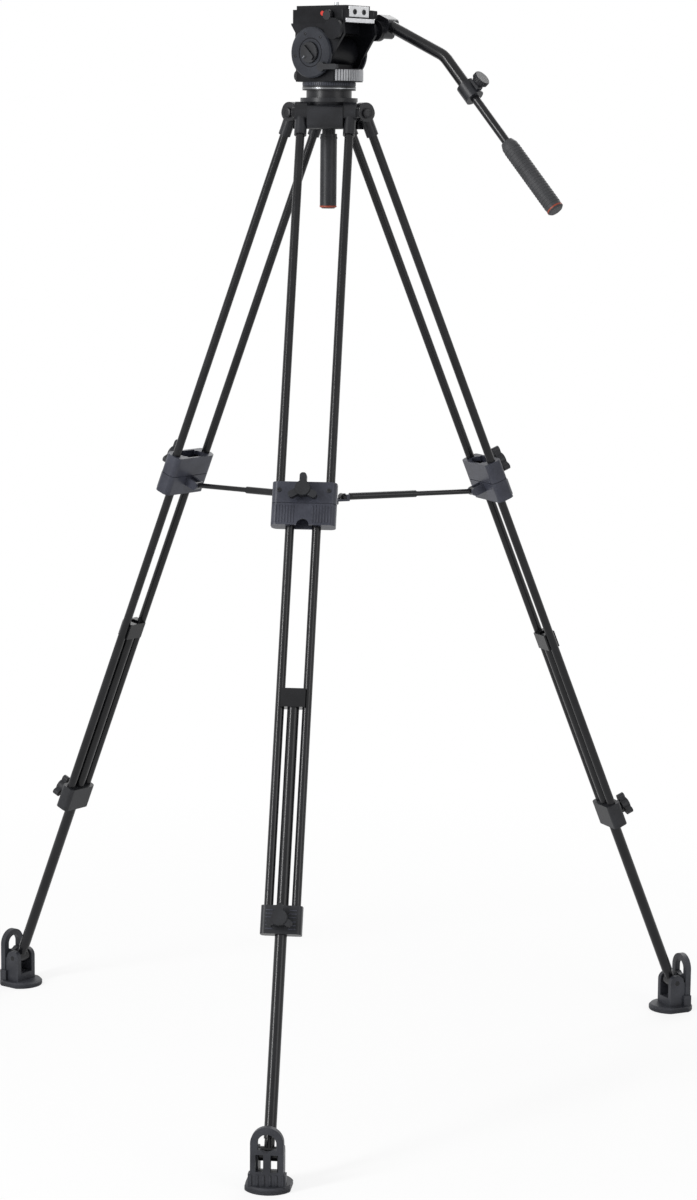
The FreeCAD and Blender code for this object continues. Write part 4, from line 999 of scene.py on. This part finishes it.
@dataclass
class HeadTrim:
    """The head's end plates, screws, marks, grips and rings, in millimetres."""

    shop: Workshop
    tilt_height: float = 1543.0
    carrier_end: Box = ((-34.0, -58.2, 1587.0), (34.0, -55.8, 1593.0))
    carrier_end_edge: float = 0.6
    plate_end: Box = ((-24.0, -55.4, 1595.0), (24.0, -52.8, 1611.0))
    plate_end_edge: float = 0.8
    plate_screw: Screw = Screw(radius=4.0, height=1.6, socket=2.0)
    plate_screw_x: float = 11.0
    plate_screw_y: float = -55.3
    plate_screw_z: float = 1602.5
    cover_face: float = 46.2
    cover_screw: Screw = Screw(radius=2.2, height=0.9, socket=1.1)
    cover_screw_circle: float = 29.0
    cover_screw_degrees: tuple[float, ...] = (70.0, 130.0, 350.0)
    cover_ring: Outline = ((20.2, -0.3), (21.8, -0.3), (21.4, 0.5), (20.6, 0.5))
    dial_mark: Box = ((-0.6, 7.0, 7.7), (0.6, 12.0, 8.25))
    dial_mark_edge: float = 0.15
    dial_mark_degrees: float = -45.0
    knob_tooth_proud: float = 0.9
    base_rib: Box = ((-1.75, -51.0, 1502.0), (1.75, -49.0, 1518.6))
    base_rib_edge: float = 0.5
    base_rib_degrees: int = 40
    base_rib_pitch: int = 5

    def build(self) -> None:
        """Make the head's fittings."""
        axes = self.shop.rig.head()
        self.end_plates(axes)
        self.covers(axes)
        self.dial_grips(axes)
        self.knob_grips(axes)
        self.base_ribs(axes)
        self.rings(axes)

    def on_cover(self, axes: Axes, sign: float, along: float = 0.0, up: float = 0.0) -> Axes:
        """A frame that faces out of a side cover.

        Args:
            axes: the head's frame.
            sign: -1 for the left cover, 1 for the right.
            along: its place along the head, from the tilt axis.
            up: its height above the tilt axis.

        Returns:
            The frame.
        """
        spot = axes.moved(sign * self.cover_face, along, self.tilt_height + up)
        return spot.turned_to(Facing.ACROSS, sign)

    def end_plates(self, axes: Axes) -> None:
        """The ends of the carrier and of the camera plate, with its two screws; their pale grey is
        a painted reflection of the lamp.

        Args:
            axes: the head's frame.
        """
        # Painted reflection: pale grey plates where the rear faces catch the lamp.
        end = block("carrier_end_plate", *self.carrier_end, self.carrier_end_edge)
        self.shop.fit(end, axes, "tilt", "silver_knob", PAINTED_REFLECTION_GREY)
        end = block("camera_plate_end", *self.plate_end, self.plate_end_edge)
        self.shop.fit(end, axes, "plate", "silver_knob", PAINTED_REFLECTION_GREY)
        first = self.plate_screw.make()
        spots = [
            axes.moved(x, self.plate_screw_y, self.plate_screw_z)
            .turned_to(Facing.ALONG, -1.0)
            .matrix
            for x in (-self.plate_screw_x, self.plate_screw_x)
        ]
        screws = repeated("plate_end_screws", first, spots)
        self.shop.fit(screws, WHOLE, "plate", "casting_black")

    def covers(self, axes: Axes) -> None:
        """Three screws and a ring on each side cover.

        Args:
            axes: the head's frame.
        """
        for side, sign in (("left", -1.0), ("right", 1.0)):
            first = self.cover_screw.make()
            spots = []
            for degrees in self.cover_screw_degrees:
                along = self.cover_screw_circle * math.cos(math.radians(degrees))
                up = self.cover_screw_circle * math.sin(math.radians(degrees))
                spots.append(self.on_cover(axes, sign, along, up).matrix)
            screws = repeated(f"cover_screws_{side}", first, spots)
            self.shop.fit(screws, WHOLE, "tilt", "casting_black")
            ring = turned(f"cover_ring_{side}", self.cover_ring)
            self.shop.fit(ring, self.on_cover(axes, sign), "tilt", "head_black")

    def dial_grips(self, axes: Axes) -> None:
        """Teeth round the two side dials and a mark on each pointer.

        Args:
            axes: the head's frame.
        """
        for body, sign in (("drag_dial", -1.0), ("balance", 1.0)):
            spot = self.on_cover(axes, sign)
            teeth = tooth_ring(
                f"{body}_teeth", radius=15.0, start=0.8, end=3.6, count=36, proud=0.7
            )
            self.shop.fit(teeth, spot, body, "moulded_black")
            mark = block(f"{body}_mark", *self.dial_mark, self.dial_mark_edge)
            turn = math.radians(self.dial_mark_degrees * sign)
            mark.data.transform(Matrix.Rotation(turn, 4, "Z"))
            self.shop.fit(mark, spot, body, "silver_knob", MARK_GREY)

    def knob_grips(self, axes: Axes) -> None:
        """Teeth round the pan, plate and bar knobs.

        Args:
            axes: the head's frame.
        """
        ahead = axes.moved(0.0, 50.3, 1510.0).turned_to(Facing.ALONG)
        left = axes.moved(-38.3, -30.0, 1597.0).turned_to(Facing.ACROSS, -1.0)
        right = axes.moved(84.3, -47.0, 1577.0).turned_to(Facing.ACROSS)
        for body, spot, radius, end, count, slot in (
            ("pan_knob", ahead, 8.0, 10.0, 18, "moulded_black"),
            ("plate_knob", left, 7.0, 7.0, 18, "moulded_black"),
            ("bar_knob", right, 9.0, 7.0, 22, "silver_knob"),
        ):
            name = f"{body}_teeth"
            teeth = tooth_ring(name, radius, 1.0, end, count, self.knob_tooth_proud)
            self.shop.fit(teeth, spot, body, slot)

    def base_ribs(self, axes: Axes) -> None:
        """Upright ribs round the back of the pan base; their lighter grey is partly their own
        metal and partly a painted reflection of the lamp on that side.

        Args:
            axes: the head's frame.
        """
        first = block("rib", *self.base_rib, self.base_rib_edge)
        reach = range(-self.base_rib_degrees, self.base_rib_degrees + 1, self.base_rib_pitch)
        places = [Matrix.Rotation(math.radians(degrees), 4, "Z") for degrees in reach]
        ribs = repeated("base_ribs", first, places)
        self.shop.fit(ribs, axes, "pan", "silver_knob", RIB_GREY_AND_REFLECTION)

    def rings(self, axes: Axes) -> None:
        """The flange's edge, a steel ring that is a painted highlight, the pan ring's teeth and
        the handle's two rings.

        Args:
            axes: the head's frame.
        """
        # A thin steel ring on the flange's rim: a painted highlight where the rim catches the
        # light.
        edge = hoop("flange_highlight_edge", inner=39.6, outer=40.5, low=1490.4, high=1491.6, slope=0.2)
        self.shop.fit(edge, axes, "ball", "steel_bolt")
        teeth = tooth_ring(
            "pan_ring_teeth", radius=39.5, start=1495.0, end=1499.6, count=72, proud=0.5
        )
        self.shop.fit(teeth, axes, "pan_ring", "moulded_slate")
        ring = hoop("handle_ring", inner=11.9, outer=12.85, low=1314.6, high=1317.7, slope=0.5)
        self.shop.fit(ring, axes, "tie_down", "red_button", ORANGE_RING)
        collar = hoop("handle_collar", inner=12.2, outer=13.1, low=1416.0, high=1420.0, slope=0.6)
        self.shop.fit(collar, axes, "tie_down", "moulded_black")


@dataclass
class GripTrim:
    """The pan bar's ribbed grip, its coloured ring and the joint's knob, in millimetres."""

    shop: Workshop
    grip_radius: float = 12.5
    grip_end: float = 232.0
    bands: range = range(114, 220, 5)
    band_long: float = 3.0
    band_sunk: float = 0.3
    band_proud: float = 0.5
    band_slope: float = 0.6
    ring_from_end: tuple[float, float] = (5.0, 2.2)
    ring_sunk: float = 0.4
    ring_proud: float = 0.3
    ring_slope: float = 0.4
    knob_seat: float = 18.3

    def build(self) -> None:
        """Make the grip's fittings."""
        axes = self.shop.rig.grip().turned_to(Facing.ALONG, -1.0)
        inner, outer = self.grip_radius - self.band_sunk, self.grip_radius + self.band_proud
        bands = [
            hoop("band", inner, outer, start, start + self.band_long, self.band_slope)
            for start in self.bands
        ]
        self.shop.fit(joined("grip_bands", bands), axes, "handle_rod", "grip_rubber")
        low, high = (self.grip_end - gap for gap in self.ring_from_end)
        inner, outer = self.grip_radius - self.ring_sunk, self.grip_radius + self.ring_proud
        ring = hoop("grip_ring", inner, outer, low, high, self.ring_slope)
        self.shop.fit(ring, axes, "handle_rod", "red_button", ORANGE_RING)
        knob = self.shop.rig.grip().moved(0.0, 0.0, self.knob_seat)
        teeth = tooth_ring(
            "joint_knob_teeth", radius=12.0, start=4.5, end=11.3, count=22, proud=0.9
        )
        self.shop.fit(teeth, knob, "joint_knob", "moulded_black")


# ---------------------------------------------------------------- studio


@dataclass(frozen=True)
class Lamp:
    """One rectangular lamp.

    Args:
        name: its name.
        place: where it hangs, in metres.
        width: its width, in metres.
        height: its height, in metres.
        power: its power, in watts.
    """

    name: str
    place: Spot
    width: float
    height: float
    power: float

    def hang(self, target: Spot) -> None:
        """Hang the lamp and aim it.

        Args:
            target: what it is aimed at, in metres.
        """
        data = bpy.data.lights.new(self.name, "AREA")
        data.energy = self.power
        data.shape = "RECTANGLE"
        data.size = self.width
        data.size_y = self.height
        item = bpy.data.objects.new(self.name, data)
        bpy.context.scene.collection.objects.link(item)
        item.location = self.place
        aim = Vector(target) - Vector(self.place)
        item.rotation_euler = aim.to_track_quat("-Z", "Y").to_euler()


@dataclass
class Studio:
    """Camera, floor, lamps and world, in metres; the lens and the sensor in millimetres."""

    camera_place: tuple[float, float, float] = (0.507, -4.570, 1.413)
    right: tuple[float, float, float] = (0.9945492, 0.1038227, 0.0096292)
    up: tuple[float, float, float] = (-0.0250101, 0.1478809, 0.9886889)
    lens: float = 90.87
    sensor: float = 36.0
    sight: float = 200.0
    floor_half: float = 40.0
    floor_colour: Colour = (0.95, 0.95, 0.95)
    floor_roughness: float = 0.9
    fade_start: float = 0.7
    fade_end: float = 1.9
    fade_near: float = 0.8
    soft_light: float = 0.5
    target: Spot = (0.0, 0.0, 0.9)
    key: Lamp = Lamp("key", (-2.9, -3.1, 2.2), 0.6, 3.0, 135.0)
    fill: Lamp = Lamp("fill", (3.4, -2.8, 2.2), 2.0, 2.0, 28.0)
    back: Lamp = Lamp("back", (1.2, 3.4, 3.4), 2.4, 2.4, 60.0)

    def build(self) -> None:
        """Make the whole studio."""
        self.camera()
        self.floor()
        self.lamps()
        self.world()
        bpy.context.scene.view_settings.view_transform = "Standard"

    def camera(self) -> None:
        """The camera, at the angle from which the object is seen."""
        data = bpy.data.cameras.new("camera")
        data.lens = self.lens
        data.sensor_fit = "VERTICAL"
        data.sensor_height = self.sensor
        data.clip_end = self.sight
        item = bpy.data.objects.new("camera", data)
        bpy.context.scene.collection.objects.link(item)
        right = Vector(self.right).normalized()
        up = Vector(self.up)
        up = (up - right * up.dot(right)).normalized()
        matrix = Matrix((right, up, right.cross(up))).transposed().to_4x4()
        matrix.translation = Vector(self.camera_place)
        item.matrix_world = matrix
        bpy.context.scene.camera = item

    def floor(self) -> None:
        """A pale floor that fades into the background far from the object."""
        clear_selection()
        bpy.ops.mesh.primitive_plane_add(size=2 * self.floor_half, location=(0.0, 0.0, 0.0))
        item = active("floor")
        material = bpy.data.materials.new("pale_floor")
        material.use_nodes = True
        nodes, links = material.node_tree.nodes, material.node_tree.links
        matt = nodes["Principled BSDF"]
        matt.inputs["Base Color"].default_value = (*self.floor_colour, 1.0)
        matt.inputs["Roughness"].default_value = self.floor_roughness
        glow = nodes.new("ShaderNodeEmission")
        glow.inputs["Color"].default_value = WHITE
        place = nodes.new("ShaderNodeTexCoord")
        length = nodes.new("ShaderNodeVectorMath")
        length.operation = "LENGTH"
        links.new(place.outputs["Object"], length.inputs[0])
        fade = nodes.new("ShaderNodeMapRange")
        fade.inputs["From Min"].default_value = self.fade_start
        fade.inputs["From Max"].default_value = self.fade_end
        fade.inputs["To Min"].default_value = self.fade_near
        links.new(length.outputs["Value"], fade.inputs["Value"])
        both = nodes.new("ShaderNodeMath")
        both.operation = "MULTIPLY"
        links.new(fade.outputs[0], both.inputs[0])
        links.new(self.background_rays(material.node_tree), both.inputs[1])
        mix = nodes.new("ShaderNodeMixShader")
        links.new(both.outputs[0], mix.inputs[0])
        links.new(matt.outputs[0], mix.inputs[1])
        links.new(glow.outputs[0], mix.inputs[2])
        links.new(mix.outputs[0], nodes["Material Output"].inputs["Surface"])
        item.data.materials.append(material)

    def background_rays(self, tree: bpy.types.NodeTree) -> bpy.types.NodeSocket:
        """The rays that show the plain background.

        Args:
            tree: the node tree of the floor or the world.

        Returns:
            A socket that is one for camera, glossy and transmission rays.
        """
        path = tree.nodes.new("ShaderNodeLightPath")
        seen = path.outputs["Is Camera Ray"]
        for kind in ("Is Glossy Ray", "Is Transmission Ray"):
            either = tree.nodes.new("ShaderNodeMath")
            either.operation = "MAXIMUM"
            tree.links.new(seen, either.inputs[0])
            tree.links.new(path.outputs[kind], either.inputs[1])
            seen = either.outputs[0]
        return seen

    def lamps(self) -> None:
        """A tall soft key lamp, a fill lamp and a back lamp."""
        for lamp in (self.key, self.fill, self.back):
            lamp.hang(self.target)

    def world(self) -> None:
        """A white background that lights the object softly."""
        world = bpy.data.worlds.new("studio")
        world.use_nodes = True
        bpy.context.scene.world = world
        nodes, links = world.node_tree.nodes, world.node_tree.links
        soft = nodes["Background"]
        soft.inputs["Color"].default_value = WHITE
        soft.inputs["Strength"].default_value = self.soft_light
        seen = nodes.new("ShaderNodeBackground")
        seen.inputs["Color"].default_value = WHITE
        seen.inputs["Strength"].default_value = 1.0
        mix = nodes.new("ShaderNodeMixShader")
        links.new(self.background_rays(world.node_tree), mix.inputs[0])
        links.new(soft.outputs[0], mix.inputs[1])
        links.new(seen.outputs[0], mix.inputs[2])
        links.new(mix.outputs[0], nodes["World Output"].inputs["Surface"])


def main() -> None:
    """Build the studio, dress the nodes and make every fitting, in order."""
    logging.basicConfig(level=logging.INFO, format="%(name)s %(message)s")
    rig = Rig(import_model())
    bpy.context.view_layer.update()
    clear_selection()
    Studio().build()
    shop = Workshop(rig, Palette())
    Nodes(shop).dress()
    for side in SIDES:
        LegTrim(shop, side).build()
        FootTrim(shop, side).build()
    HeadTrim(shop).build()
    GripTrim(shop).build()
    LOG.info("%d fittings made", len(shop.made))


if __name__ == "__main__":
    main()
